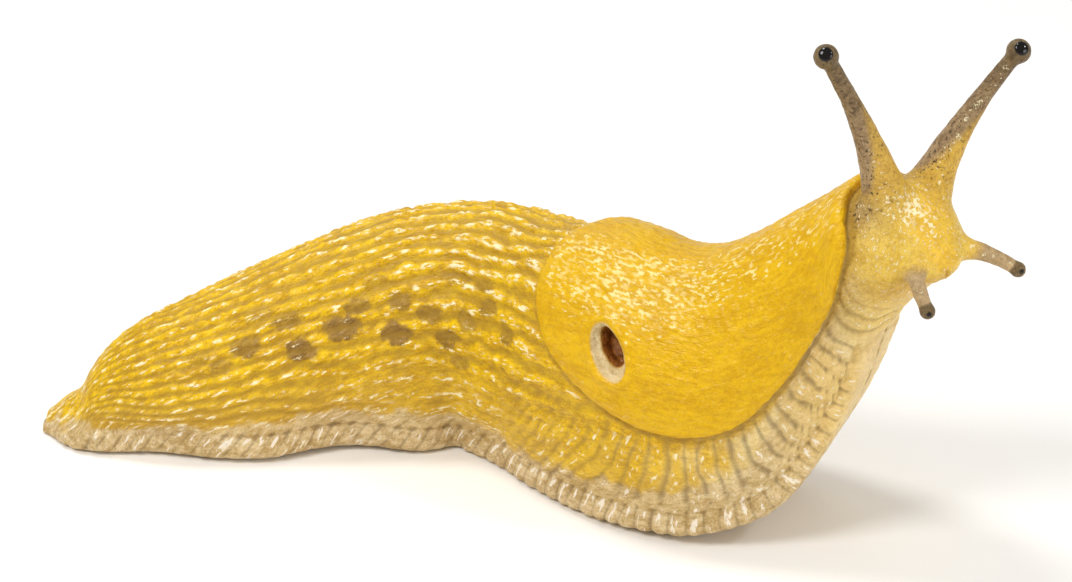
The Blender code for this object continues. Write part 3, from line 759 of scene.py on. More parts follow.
# %% Tubercle rows
ROWS_A_SIDE = 13
ROW_HEIGHT = 0.5
ROW_SHARPNESS = 1.15
ROW_WANDER = ((0.32, 5.0, 1), (0.2, 1.5, 2))
BEAD_LENGTH = 4.4
BEAD_DIP = 0.45
LUMP_LENGTH = 1.25
LUMP_DIP = 0.55
ROWS_SPAN = (1.0, 10.0, 62.0, 84.0)
LOW_ROWS_AROUND = (0.6, 0.8)
LOW_ROWS_ALONG = (26.0, 36.0)
LOW_ROWS_FADE = 0.55
PALE_BAND = (
    (0.0, 4.0, 9.0, 16.0, 28.0, 45.0, 62.0, 80.0, 95.0),
    (1.5, 2.5, 3.0, 3.6, 4.2, 4.7, 4.3, 5.6, 8.4),
)
pale_edge = np.interp(S, *PALE_BAND)
row_at = TURN / GIRTH * ROWS_A_SIDE + layers(points, *ROW_WANDER)
row = np.round(row_at)
row_seed = np.stack([RUN, 9.0 * row], 1)
bead = notches(RUN / BEAD_LENGTH + 0.37 * row + layers(row_seed, (0.3, 5.0, 3)), 0.28)
lump = notches(RUN / LUMP_LENGTH + 0.61 * row + layers(row_seed, (0.6, 2.2, 4)), 0.4)
lump_size = 0.5 + layers(row_seed, (0.5, 1.4, 20))
beaded = ridges(row_at, ROW_SHARPNESS) * (1 - BEAD_DIP * (1 - bead)) * (1 - LUMP_DIP * (1 - lump) * lump_size)
row_zone = along(*ROWS_SPAN) * off_mantle * (1 - foot)
row_zone *= smooth_step(-0.3, 1.3, rise - pale_edge)
row_zone *= 1 - LOW_ROWS_FADE * smooth_step(*LOW_ROWS_AROUND, level) * smooth_step(*LOW_ROWS_ALONG, S)
row_relief = np.minimum(ROW_HEIGHT, 0.24 * GIRTH / ROWS_A_SIDE) * beaded * row_zone
print("highest tubercle", round(float(row_relief.max()), 2), "mm")

# %% Folds of the front flank and the neck
FOLD_PITCH = 1.8
FOLD_HEIGHT = 0.3
FOLD_SHARPNESS = 0.55
FOLD_LEAN = ((56.0, 66.0, 78.0, 90.0), (1.5, 1.0, 0.25, -0.2))
FOLD_WANDER = ((0.4, 4.0, 5), (0.16, 1.5, 6))
FOLDS_SPAN = (58.0, 70.0, 101.5, 111.0)
FOLDS_HIGH = (0.5, 0.66)
fold_at = (S - np.interp(S, *FOLD_LEAN) * (GIRTH - np.abs(TURN))) / FOLD_PITCH + layers(points, *FOLD_WANDER)
fold = ridges(fold_at, FOLD_SHARPNESS)
fold_break = 0.76 + layers(points, (0.24, 1.4, 7))
fold_zone = along(*FOLDS_SPAN) * smooth_step(*FOLDS_HIGH, np.abs(A))
fold_zone *= off_mantle * (1 - foot) * (1 - feeler)
fold_relief = FOLD_HEIGHT * fold * fold_break * fold_zone
print("highest fold", round(float(fold_relief.max()), 2), "mm")

# %% Ribs of the foot's fringe and the groove above it
RIB_PITCH = 1.7
RIB_HEIGHT = 0.26
RIB_SHARPNESS = 0.5
RIB_TOP = 5.0
RIB_SLANT = ((0.0, 50.0, 72.0, 95.0), (0.85, 0.75, 0.3, 0.0))
RIBS_SPAN = (1.0, 5.0, 94.0, 101.0)
RAGGED_EDGE = ((0.7, 1.7, 22), (0.45, 0.6, 24))
GROOVE_DEPTH = 0.16
GROOVE_HALF = 0.2
GROOVE_SPAN = (0.5, 6.0, 95.0, 101.0)
GROOVE_STRENGTH = ((14.0, 24.0, 42.0, 60.0), (0.2, 1.0, 1.0, 0.3))
up_foot = rise / np.maximum(groove_level, 0.1)
rib_at = (RUN - np.interp(S, *RIB_SLANT) * rise) / RIB_PITCH + layers(points, (0.2, 2.5, 8))
rib = ridges(rib_at, RIB_SHARPNESS)
ragged_rise = rise + layers(points, *RAGGED_EDGE)
rib_end = np.minimum(pale_edge, RIB_TOP)
rib_zone = smooth_step(0.03, 0.25, up_foot) * smooth_step(rib_end + 0.3, rib_end - 1.2, ragged_rise)
rib_zone *= along(*RIBS_SPAN) * off_mantle * (1 - underside)
rib_zone *= 1 - 0.3 * smooth_step(0.95, 1.1, up_foot)
rib_relief = RIB_HEIGHT * rib * (0.8 + layers(points, (0.2, 0.8, 21))) * rib_zone
groove_line = np.exp(-((rise - groove_level) / GROOVE_HALF) ** 2) * np.interp(S, *GROOVE_STRENGTH) * off_mantle
groove_line *= along(*GROOVE_SPAN) * (0.75 + layers(points, (0.25, 1.3, 23)))
rib_count = np.ptp(rib_at[rib_zone > 0.5])
print("highest rib", round(float(rib_relief.max()), 2), "mm, about", round(float(rib_count)), "ribs a side")

# %% Fine grain of the mantle, the head and the feelers
drawn = np.stack([RUN * 0.5, TURN], 1)
mantle_grain = layers(drawn, (0.06, 0.45, 9), (0.03, 2.2, 11)) + layers(points, (0.045, 0.5, 10))
head_grain = layers(points, (0.05, 0.6, 12), (0.04, 1.3, 13))
feeler_grain = layers(points, (0.03, 0.5, 14))
body_grain = layers(drawn, (0.06, 0.5, 15))
grain = mantle * mantle_grain + head * (1 - feeler) * head_grain + feeler * (1 - bulb) * feeler_grain
grain += off_mantle * (1 - head) * (1 - feeler) * body_grain
print("grain from", grain.min().round(2), "to", grain.max().round(2), "mm")

# %% The mouth's slit
MOUTH_DEPTH = 0.5
SLIT_HALF = 0.17
SLIT_LONG = (1.5, 0.9)
SLIT_AHEAD = (0.2, 0.9)
from_mouth = points - mouth
slit = np.exp(-(from_mouth @ leftward / SLIT_HALF) ** 2) * smooth_step(*SLIT_LONG, np.abs(from_mouth @ upward))
slit *= smooth_step(*SLIT_AHEAD, from_mouth @ forward)
print("deepest point of the slit", round(MOUTH_DEPTH * float(slit.max()), 2), "mm")

# %% Raise the skin
FLAT_BELOW = (0.5, 0.1)
off_floor = 1 - smooth_step(*FLAT_BELOW, points[:, 2])
height_mm = (row_relief + fold_relief + rib_relief - GROOVE_DEPTH * groove_line + grain) * off_floor
height_mm -= MOUTH_DEPTH * slit


def put_points(thing, places):
    """Moves an object's points to new places."""
    thing.data.vertices.foreach_set("co", places.ravel())
    thing.data.update()


put_points(skin, points)
normals = read(skin.data.vertices, "normal", 3)
raised = points + normals * height_mm[:, None]
raised[:, 2] = np.maximum(raised[:, 2], 0.0)
put_points(skin, raised)
skin.data.shade_smooth()
print("relief from", height_mm.min().round(2), "to", height_mm.max().round(2), "mm")

# %% [markdown]
# ## Marks for the colours
#
# Each zone of colour is a number from 0 to 1 on every point, which the material reads as an attribute. The dark
# blotches lie between the rows of the flank, in three uneven lines that fade towards the back. They are few, so
# each has its own entry here: how far along the flank, how far round from the back to the groove, half its length
# and width, and its strength. The far side has the same ones, a little shifted. In the cells after that, a pair of
# numbers says where a zone begins and where it is whole, mostly as a distance from the tail in millimetres; four
# numbers say where it fades as well.

# %% Blotches
BLOTCHES = (
    (21.0, 0.45, 1.4, 0.7, 0.4), (23.0, 0.55, 1.2, 0.75, 0.65), (25.9, 0.47, 1.4, 1.05, 0.85),
    (27.7, 0.31, 1.7, 0.6, 0.4), (30.8, 0.39, 1.6, 0.95, 0.7), (31.2, 0.56, 1.4, 1.2, 1.0),
    (35.8, 0.49, 1.7, 1.15, 1.0), (38.2, 0.41, 1.3, 0.8, 0.8), (40.4, 0.33, 1.2, 0.6, 0.4),
    (40.9, 0.56, 1.4, 1.2, 1.0), (42.3, 0.43, 1.2, 0.9, 0.8), (44.9, 0.49, 1.3, 0.9, 0.8),
    (46.3, 0.585, 1.3, 1.0, 0.75), (47.3, 0.68, 1.1, 0.8, 0.6), (49.2, 0.50, 1.2, 0.9, 0.75),
    (48.8, 0.345, 1.6, 0.6, 0.5), (52.5, 0.35, 1.4, 0.6, 0.55), (52.7, 0.425, 1.3, 0.9, 0.7),
    (55.3, 0.495, 1.1, 1.0, 0.7),
)
BLOTCH_SHIFT = 1.5
BLOTCH_EDGE = (1.25, 0.8)
chance = np.random.default_rng(21)
blotch = np.zeros(len(points))
ragged = layers(points, (0.32, 0.5, 16), (0.2, 1.6, 17))
for run, share, long_half, short_half, strength in BLOTCHES:
    for mirror, shift in ((-1, 0.0), (1, chance.uniform(-BLOTCH_SHIFT, BLOTCH_SHIFT))):
        apart = np.hypot((RUN - run - shift) / long_half, (TURN - mirror * share * GIRTH) / short_half) + ragged
        blotch = np.maximum(blotch, strength * smooth_step(*BLOTCH_EDGE, apart))
blotch *= off_mantle
print("share of the skin under blotches", round(float((blotch > 0.5).mean()), 3))

# %% The pore's pale wall and dark hole
def across_oval(centre):
    """How far the points lie from the middle of an oval of the pore's size: 1 on its edge."""
    away = points - centre
    return np.hypot((away @ pore_down) / PORE_LONG, (away @ pore_across) / PORE_SHORT)


depth = (points - pore_centre) @ pore_out
in_mouth = smooth_step(1.25, 1.05, across_oval(pore_centre))
hole_centre = pore_centre + pore_forward * HOLE_FORWARD - pore_down * HOLE_UP
pore_hole = in_mouth * smooth_step(0.76, 0.66, across_oval(hole_centre)) * smooth_step(-0.6, -0.85, depth)
pore_wall = in_mouth * smooth_step(0.0, -0.2, depth) * (1 - pore_hole)
print("points in the hole", int((pore_hole > 0.5).sum()), "on its wall", int((pore_wall > 0.5).sum()))

# %% Grey feelers and nape, and the dark dots of the lower feelers
EYE_LOOK = np.array((0.0, -0.9, 0.44))
DOT_FOLLOW = 0.5
DOT_EDGE = (0.36, 0.22)
NAPE = (107.0, 0.27, 2.6, 3.4)
# The crown's patch of painted highlight: along the body, share of the girth, half length and half width (mm)
CROWN_HIGHLIGHT = (109.9, -0.13, 2.4, 2.6)
BESIDE_RIM = (97.0, 102.0, 105.0, 111.5)
TIP_DARK = (0.42, 0.95)


def soft_patch(around, along, share, half_along, half_aside):
    """A patch on the skin that fades away from its middle, given along the body and as a share of the girth."""
    return np.exp(-((S - along) / half_along) ** 2 - ((around - share) * GIRTH / half_aside) ** 2)


back_side = 0.1 - normals[:, 0]
grey = feeler * smooth_step(-0.5, 0.3, 3.0 * feeler_share - 1.5 + back_side * (1 - 0.8 * lower_feeler))
grey *= 1 - 0.25 * lower_feeler
tip_dark = 0.9 * feeler * (1 - lower_feeler) * smooth_step(*TIP_DARK, feeler_share)
beside_rim = along(*BESIDE_RIM) * smooth_step(0.1, 0.3, level) * smooth_step(1.0, 0.78, level) * off_mantle
nape = soft_patch(level, *NAPE) * off_mantle
grey = np.maximum(grey, np.maximum(0.85 * nape, 0.4 * beside_rim) * (1 - 0.45 * feeler))
dot = np.zeros(len(points))
for name in ("lower_right", "lower_left"):
    root, bend, tip, _, size = FEELERS[name]
    look = feeler_line(root, bend, tip, [1.0])[1][0] * DOT_FOLLOW + EYE_LOOK
    dot_place = np.array(tip) + size * look / lengths(look)
    dot = np.maximum(dot, smooth_step(*DOT_EDGE, lengths(points - dot_place)))
speck_zone = feeler * (1 - lower_feeler) * smooth_step(0.85, 0.5, feeler_share) * smooth_step(-0.3, 0.4, back_side)

# %% Paler and deeper zones of the flank, the fringe and the head
lower_flank = smooth_step(0.6, 1.0, level + layers(points, (0.1, 2.4, 18))) * off_mantle
hind_low = smooth_step(0.72, 0.94, level) * smooth_step(46.0, 32.0, S) * off_mantle
throat = smooth_step(0.5, 0.85, level + layers(points, (0.08, 2.0, 25))) * smooth_step(113.0, 104.0, S)
golden = head * (1 - 0.65 * throat)
front_at = S + 16.0 * (level - 0.8) + layers(points, (5.0, 2.6, 19)) + 5.0 * (0.5 - fold)
front_flank = smooth_step(74.0, 90.0, front_at) * off_mantle * (1 - foot) * (1 - golden)
front_flank *= 0.35 + 0.65 * smooth_step(1.03, 1.15, to_rim)
over_fringe = smooth_step(pale_edge + 0.6, pale_edge - 0.6, ragged_rise) * smooth_step(101.0, 96.0, S) * off_mantle
front_foot = np.maximum(foot, over_fringe) * along(84.0, 94.0, 98.0, 104.0)
head_top = head * (1 - 0.7 * feeler) * smooth_step(0.45, 0.22, level) * smooth_step(104.5, 108.5, S) * (1 - nape)
# Painted shade: the underside of the head, where its skin faces down, is a darker gold
painted_chin_shade = head * (1 - feeler) * smooth_step(-0.05, -0.6, normals[:, 2]) * smooth_step(106.0, 110.0, S)

# %% How high each point stands in the relief, lowered for the painted shadow under the mantle's rim
# Painted shadow: a thin band of the flank just under the mantle's rim
painted_rim_shadow = smooth_step(1.055, 1.015, to_rim) * smooth_step(0.5, 0.2, lift) * smooth_step(0.985, 1.0, to_rim)
relief = np.maximum.reduce([beaded * row_zone, fold * fold_break * fold_zone, (0.08 + 0.92 * rib) * rib_zone])
smooth_zone = np.clip(1 - row_zone - fold_zone - rib_zone, 0, 1)
relief += smooth_zone * (0.7 + 3.0 * grain) + 2.5 * body_grain * off_mantle * (1 - head)
# The groove line and the painted rim shadow pull the relief down, so the material colours them as dark furrows
relief = np.clip(relief - 0.9 * groove_line - 0.8 * painted_rim_shadow, 0.0, 1.0)

# %% Where the pale flecks and the painted highlights lie
# Directions that the skin faces where the light falls; the pale flecks gathered there are painted highlights
HIGHLIGHT_FACING = np.array((-0.3, -0.45, 0.84))
FRONT_HIGHLIGHT_FACING = np.array((-0.62, -0.22, 0.75))
HIGHLIGHT_SHARPNESS = 1.5
# Painted highlight: more pale flecks on the back where it faces up and to the left, towards the light
shoulder_highlight = smooth_step(0.72, 0.95, normals @ HIGHLIGHT_FACING) * smooth_step(30.0, 50.0, S)
to_front = smooth_step(80.0, 90.0, S)
mantle_highlight_facing = normals @ HIGHLIGHT_FACING * (1 - to_front) + normals @ FRONT_HIGHLIGHT_FACING * to_front
# Painted highlight: pale flecks on the mantle where it faces the light
mantle_highlight = smooth_step(0.87, 0.975, mantle_highlight_facing) * (1 - 0.35 * to_front)
# Painted highlight: pale flecks gathered in a soft patch on the crown
crown = soft_patch(TURN / GIRTH, *CROWN_HIGHLIGHT)
# Painted highlight: a line of pale flecks along each feeler where its skin faces along the camera's line of sight, a
# little upwards
side_highlight = smooth_step(0.9, 0.98, np.abs(normals[:, 1]) * 0.95 + normals[:, 2] * 0.3)
chest = along(56.0, 66.0, 86.0, 98.0)
on_folds = smooth_step(0.2, 0.6, fold_zone) * (1 - head)
# Painted highlights: one pale streak on the crest of each rib of the fringe, about its middle height
rib_highlight_band = (0.3 + 0.7 * np.exp(-((up_foot - 0.85) / 0.36) ** 2)) * (1 - underside)
rib_highlights = (0.7 + 0.2 * chest) * rib_highlight_band * ridges(rib_at, HIGHLIGHT_SHARPNESS)
# Density of the pale flecks: partly pigment, partly painted highlights from the masks above
flecks_and_highlights = off_mantle * (1 - head) * (0.6 + 0.35 * shoulder_highlight) * (1 - 0.6 * blotch)
flecks_and_highlights += mantle * (0.02 + 0.76 * mantle_highlight)
flecks_and_highlights += head * (1 - feeler) * np.maximum(0.3, 1.15 * crown) + feeler * 0.42 * side_highlight
# Painted highlights on the crests of the folds of the front flank and the neck
flecks_and_highlights = flecks_and_highlights * (1 - on_folds) + on_folds * 0.52 * ridges(fold_at, HIGHLIGHT_SHARPNESS)
flecks_and_highlights = np.where(foot + rib_zone > 0.5, rib_highlights, flecks_and_highlights) * (1 - bulb) * (1 - in_mouth)
print("mean density of the flecks", round(float(flecks_and_highlights.mean()), 2))

# %% Put the marks on the skin
MARKS = {
    "relief": relief, "flecks_and_highlights": flecks_and_highlights, "blotch": blotch, "mantle": mantle, "lower_flank": lower_flank,
    "foot": np.maximum(foot, 0.9 * over_fringe), "front_foot": front_foot, "hind_low": 0.7 * hind_low,
    "front_flank": front_flank,
    "head": golden * (1 - feeler), "head_top": 0.85 * head_top, "painted_chin_shade": 0.8 * painted_chin_shade, "feeler": feeler, "grey": grey,
    "tip": tip_dark, "lower": 0.7 * lower_feeler * feeler, "bulb": bulb, "dot": dot, "pore_wall": pore_wall,
    "pore_hole": pore_hole, "speck_zone": np.maximum(speck_zone, nape), "loose": np.maximum(head, feeler),
    "across": np.maximum.reduce([on_folds, rib_zone, foot]),
}
square_on = np.where(rib_zone > fold_zone, rib_at * RIB_PITCH, fold_at * FOLD_PITCH)
MAPS = {"body_map": [RUN, TURN, lift], "fold_map": [square_on, TURN, lift]}
for name, values in MARKS.items():
    mark = skin.data.attributes.new(name, "FLOAT", "POINT")
    mark.data.foreach_set("value", values.astype(np.float32))
for name, columns in MAPS.items():
    mark = skin.data.attributes.new(name, "FLOAT_VECTOR", "POINT")
    mark.data.foreach_set("vector", np.stack(columns, 1).astype(np.float32).ravel())
print(len(MARKS), "marks and", len(MAPS), "maps on", len(points), "points")

# %% [markdown]
# ## Slug skin under mucus
#
# The real skin is living flesh: soft, a little see-through, coloured by pigment in the crests of the tubercles,
# and wet with mucus. The pigment gives the mottled colour, the flesh under it a faint glow at thin edges, and the
# mucus the small bright glints on every crest. Painted highlights are added to the pale flecks of the pigment where
# the skin faces the light, on the crown, and on the crests of the folds and ribs. The furrows are painted darker, in
# a brown that is partly their tone and partly painted shade. So the shader is a Principled one with a mottled base
# colour, some subsurface scatter, and a clear coat for the mucus. The mottling runs along the body, because its noise
# is read at the millimetres along the skin and around it. On the head and the feelers it is read in space, since the
# body's own directions run together there.

# %% Colours and nodes
def linear(code):
    """An sRGB hex colour as linear red, green, blue and alpha."""
    levels = [int(code[i:i + 2], 16) / 255 for i in (1, 3, 5)]
    return [v / 12.92 if v <= 0.04045 else ((v + 0.055) / 1.055) ** 2.4 for v in levels] + [1.0]


def add(tree, kind, inputs, **settings):
    """A node with its settings, each input set to a value or linked to another node's output."""
    node = tree.nodes.new("ShaderNode" + kind)
    for name, value in settings.items():
        setattr(node, name, value)
    for socket, value in inputs.items():
        if isinstance(value, bpy.types.NodeSocket):
            tree.links.new(value, node.inputs[socket])
        else:
            node.inputs[socket].default_value = value
    return node


def fresh_material(name):
    """A material with an empty node tree and its output."""
    made = bpy.data.materials.new(name)
    made.use_nodes = True
    made.node_tree.nodes.clear()
    return made, made.node_tree, add(made.node_tree, "OutputMaterial", {})


# %% The skin's pigment, zone by zone
# Each zone: name of its mark, light and dark end of its mottling. Later zones lie over earlier ones
BACK_LIGHT = "#f3c610"
BACK_DARK = "#c79711"
ZONES = [
    ("lower_flank", "#e4ba34", "#c99e31"),
    ("hind_low", "#cfa233", "#b2862c"),
    ("front_flank", "#f1dba0", "#dfc486"),
    ("head", "#f1cd5c", "#daae3b"),
    ("head_top", "#f3c63c", "#dba729"),
    # Painted shade under the head
    ("painted_chin_shade", "#dcb048", "#bf922f"),
    ("foot", "#e0c797", "#b8985e"),
    ("front_foot", "#eccc85", "#d7b56b"),
    ("mantle", "#e8b80e", "#d4a104"),
    ("feeler", "#eabd3e", "#d0a136"),
    ("grey", "#b0946c", "#866b49"),
    ("tip", "#866d4a", "#5f4c32"),
    ("lower", "#c6ab84", "#a88d68"),
    ("bulb", "#7f6946", "#604d33"),
    ("pore_wall", "#e6cf9e", "#c8ab74"),
    ("pore_hole", "#b3702f", "#74441c"),
    ("blotch", "#a37d36", "#7d5c26"),
]
# The furrows' colours, laid where the relief is low: partly a brown tone, partly painted shade
FURROW_SHADE_COLOUR = "#a8822c"
PALE_FURROW_SHADE_COLOUR = "#7c623a"
# Colours of the pale flecks, which are partly pigment and partly painted highlights
FLECK_AND_HIGHLIGHT_COLOUR = "#fff3c8"
PALE_FLECK_AND_HIGHLIGHT_COLOUR = "#f8ecd8"
MANTLE_FLECK_AND_HIGHLIGHT_COLOUR = "#fae69c"
DOT_COLOUR = "#15100c"
SPECK_COLOUR = "#4f3d26"

# %% The marks and maps as the material reads them
BODY_STRETCH = (0.45, 1.0, 1.0)
skin_material, tree, output = fresh_material("slug skin under mucus")
marks = {name: add(tree, "Attribute", {}, attribute_name=name).outputs["Fac"] for name in MARKS}
body_map, fold_map = [add(tree, "Attribute", {}, attribute_name=name).outputs["Vector"] for name in MAPS]
drawn_out = add(tree, "VectorMath", {0: body_map, 1: BODY_STRETCH}, operation="MULTIPLY").outputs[0]
in_metres = add(tree, "TexCoord", {}).outputs["Object"]
loose_map = add(tree, "VectorMath", {0: in_metres, 1: (1 / MM,) * 3}, operation="MULTIPLY").outputs[0]

# %% Mottled pigment, and furrows painted darker with a brown tone and painted shade
# Cloudy patches have humps of 2.4 mm and the lumps of a tubercle 0.6 mm, as drawn. A real pigment grain is about
# 0.05 mm, which is too fine to show, so speckle and dust are drawn at 0.4 and 0.2 mm.
MOTTLE_ROUGH = 0.62
TONE_RANGE = {"From Min": 1.74, "From Max": 2.26}
FURROW_RANGE = {"From Min": 0.45, "From Max": 0.0, "To Max": 0.65}


def mottling(per_mm, detail, on_body=drawn_out):
    """Noise that runs along the body, and on the head and feelers noise in space. Its humps are 1 / per_mm wide."""
    grains = {"Scale": per_mm, "Detail": detail, "Roughness": MOTTLE_ROUGH}
    on_skin = add(tree, "TexNoise", {"Vector": on_body, **grains}).outputs["Fac"]
    in_space = add(tree, "TexNoise", {"Vector": loose_map, **grains}).outputs["Fac"]
    return add(tree, "Mix", {0: marks["loose"], 2: on_skin, 3: in_space}).outputs[0]


patches, mottle, speckle = mottling(0.42, 3.0), mottling(1.7, 3.0), mottling(2.6, 2.0)
dust = mottling(4.6, 2.0, body_map)
pigment = patches
for finer in (mottle, speckle, dust):
    pigment = add(tree, "Math", {0: pigment, 1: finer}, operation="ADD").outputs[0]
tone = add(tree, "MapRange", {"Value": pigment, **TONE_RANGE}).outputs[0]
colour = add(tree, "Mix", {0: tone, 6: linear(BACK_LIGHT), 7: linear(BACK_DARK)}, data_type="RGBA").outputs[2]
for zone, light, dark in ZONES:
    own = add(tree, "Mix", {0: tone, 6: linear(light), 7: linear(dark)}, data_type="RGBA").outputs[2]
    colour = add(tree, "Mix", {0: marks[zone], 6: colour, 7: own}, data_type="RGBA").outputs[2]
pale = add(tree, "Math", {0: marks["foot"], 1: marks["front_flank"]}, operation="MAXIMUM").outputs[0]
furrow_shade_levels = {0: pale, 6: linear(FURROW_SHADE_COLOUR), 7: linear(PALE_FURROW_SHADE_COLOUR)}
furrow_shade = add(tree, "Mix", furrow_shade_levels, data_type="RGBA").outputs[2]
# The lower the relief, the more of the furrows' brown and painted shade
deep = add(tree, "MapRange", {"Value": marks["relief"], **FURROW_RANGE}).outputs[0]
colour = add(tree, "Mix", {0: deep, 6: colour, 7: furrow_shade}, data_type="RGBA").outputs[2]

# %% Pale flecks and painted highlights on the crests
# A fleck is 0.35 to 0.45 mm wide. Along a tubercle it is drawn out to about 1.2 mm, and across a fold as far.
DASH_STRETCH = (0.36, 1.0, 1.0)
CROSS_STRETCH = (1.0, 0.42, 0.34)
DUST_SHARE = 0.32
DENSITY_SHARE = 0.2
FLECK_AND_HIGHLIGHT_RANGE = {"From Min": 0.82, "From Max": 0.88, "To Max": 0.88}
CREST_RANGE = {"From Min": 0.45, "From Max": 0.8}
dashes = add(tree, "VectorMath", {0: body_map, 1: DASH_STRETCH}, operation="MULTIPLY").outputs[0]
cross = add(tree, "VectorMath", {0: fold_map, 1: CROSS_STRETCH}, operation="MULTIPLY").outputs[0]
dash = add(tree, "TexNoise", {"Vector": dashes, "Scale": 2.3, "Detail": 2.5, "Roughness": 0.55}).outputs["Fac"]
chip = add(tree, "TexNoise", {"Vector": drawn_out, "Scale": 2.9, "Detail": 1.5, "Roughness": 0.5}).outputs["Fac"]
cross_dash = add(tree, "TexNoise", {"Vector": cross, "Scale": 2.4, "Detail": 1.5, "Roughness": 0.5}).outputs["Fac"]
stroke = dash
for name, own in (("mantle", chip), ("across", cross_dash), ("loose", speckle)):
    stroke = add(tree, "Mix", {0: marks[name], 2: stroke, 3: own}).outputs[0]
for more, share in ((dust, DUST_SHARE), (marks["flecks_and_highlights"], DENSITY_SHARE)):
    stroke = add(tree, "Math", {0: more, 1: share, 2: stroke}, operation="MULTIPLY_ADD").outputs[0]
fleck_and_highlight = add(tree, "MapRange", {"Value": stroke, **FLECK_AND_HIGHLIGHT_RANGE}).outputs[0]
high = add(tree, "MapRange", {"Value": marks["relief"], **CREST_RANGE}).outputs[0]
anywhere = add(tree, "MapRange", {"Value": marks["flecks_and_highlights"], "From Max": 0.1}).outputs[0]
for limit in (high, anywhere):
    fleck_and_highlight = add(tree, "Math", {0: fleck_and_highlight, 1: limit}, operation="MULTIPLY").outputs[0]
fleck_and_highlight_levels = {0: pale, 6: linear(FLECK_AND_HIGHLIGHT_COLOUR), 7: linear(PALE_FLECK_AND_HIGHLIGHT_COLOUR)}
fleck_and_highlight_colour = add(tree, "Mix", fleck_and_highlight_levels, data_type="RGBA").outputs[2]
mantle_levels = {0: marks["mantle"], 6: fleck_and_highlight_colour, 7: linear(MANTLE_FLECK_AND_HIGHLIGHT_COLOUR)}
fleck_and_highlight_colour = add(tree, "Mix", mantle_levels, data_type="RGBA").outputs[2]
colour = add(tree, "Mix", {0: fleck_and_highlight, 6: colour, 7: fleck_and_highlight_colour}, data_type="RGBA").outputs[2]

# %% Dark specks and dots on the feelers
# A speck is about 0.35 mm wide
SPECK_RANGE = {"From Min": 0.62, "From Max": 0.68}
fine_spots = add(tree, "TexNoise", {"Vector": loose_map, "Scale": 2.9, "Detail": 1.0}).outputs["Fac"]
speck = add(tree, "MapRange", {"Value": fine_spots, **SPECK_RANGE}).outputs[0]
speck = add(tree, "Math", {0: speck, 1: marks["speck_zone"]}, operation="MULTIPLY").outputs[0]
for share, code in ((speck, SPECK_COLOUR), (marks["dot"], DOT_COLOUR)):
    colour = add(tree, "Mix", {0: share, 6: colour, 7: linear(code)}, data_type="RGBA").outputs[2]

# %% Flesh and mucus
fine = add(tree, "Bump", {"Height": speckle, "Strength": 0.8, "Distance": 0.0002})
coarse = add(tree, "Bump", {"Height": mottle, "Strength": 0.6, "Distance": 0.0004, "Normal": fine.outputs[0]})
shader = add(tree, "BsdfPrincipled", {
    "Base Color": colour, "Roughness": 0.5, "IOR": 1.4, "Normal": coarse.outputs[0], "Specular IOR Level": 0.15,
    "Subsurface Weight": 0.06, "Subsurface Radius": (1.0, 0.5, 0.2), "Subsurface Scale": MM,
    "Coat Weight": 0.4, "Coat Roughness": 0.16, "Coat IOR": 1.38, "Coat Normal": coarse.outputs[0],
})
tree.links.new(shader.outputs[0], output.inputs["Surface"])
skin.data.materials.clear()
skin.data.materials.append(skin_material)
print("nodes in the skin's material", len(tree.nodes))

# %% [markdown]
# ## The eyes
#
# A slug's eye is a tiny ball in the tip of the upper feeler, black with pigment behind a clear, wet cornea. It is
# built as a ball that is a little flattened in front, in a near black with a clear coat: the flatter the cornea,
# the larger the lamp's image in it.

# %% Eyes
EYE_RADIUS = 0.69
EYE_OUT = 0.82
BALL_OUT = 0.16
EYE_FOLLOW = 0.3
CORNEA_FLAT = 0.42
EYE_BLACK = "#060403"
EYE_BROWN = "#140e0a"
eye_material, tree, output = fresh_material("eye, pigment behind a wet cornea")
on_eye = add(tree, "TexCoord", {}).outputs["Object"]
grains = add(tree, "TexNoise", {"Vector": on_eye, "Scale": 4.0 / MM, "Detail": 2.0}).outputs["Fac"]
pigment = add(tree, "Mix", {0: grains, 6: linear(EYE_BLACK), 7: linear(EYE_BROWN)}, data_type="RGBA").outputs[2]
shader = add(tree, "BsdfPrincipled", {
    "Base Color": pigment, "Roughness": 0.35, "Specular IOR Level": 0.0, "Coat Weight": 1.0, "Coat IOR": 1.42,
    "Coat Roughness": 0.03,
})
tree.links.new(shader.outputs[0], output.inputs["Surface"])


def eye_places():
    """The centre of each eye and the way that it looks."""
    places = {}
    for name in ("left", "right"):
        root, bend, tip, _, _ = FEELERS["upper_" + name]
        way = feeler_line(root, bend, tip, [1.0])[1][0]
        look = EYE_LOOK + EYE_FOLLOW * way
        look /= lengths(look)
        places[name] = (np.array(tip) + look * EYE_OUT, look)
    return places


EYES = eye_places()
eyes = []
for name, (centre, look) in EYES.items():
    rings = []
    for u in pole_to_pole(0.06, 40):
        depth = math.cos(u) * (CORNEA_FLAT if u > math.pi / 2 else 1.0)
        middle = centre + look * (BALL_OUT - EYE_RADIUS * depth)
        rings.append(ring_round(middle, look, EYE_RADIUS * math.sin(u), 48))
    eye = placed(f"eye_{name}_ball", new_mesh(f"eye {name}", [tube(rings)]))
    eye.data.shade_smooth()
    eye.data.materials.append(eye_material)
    eyes.append(eye)
    print("the", name, "eye is at", centre.round(1), "mm")

# %% [markdown]
# ## Into the shared frame
#
# Everything so far is in millimetres from a point of its own. The imported solids were moved to put the origin
# under the middle of the slug, so the same move is read from one of their eyes and given to every piece. Then
# each piece is hung on the body root, and all the solids are hidden.

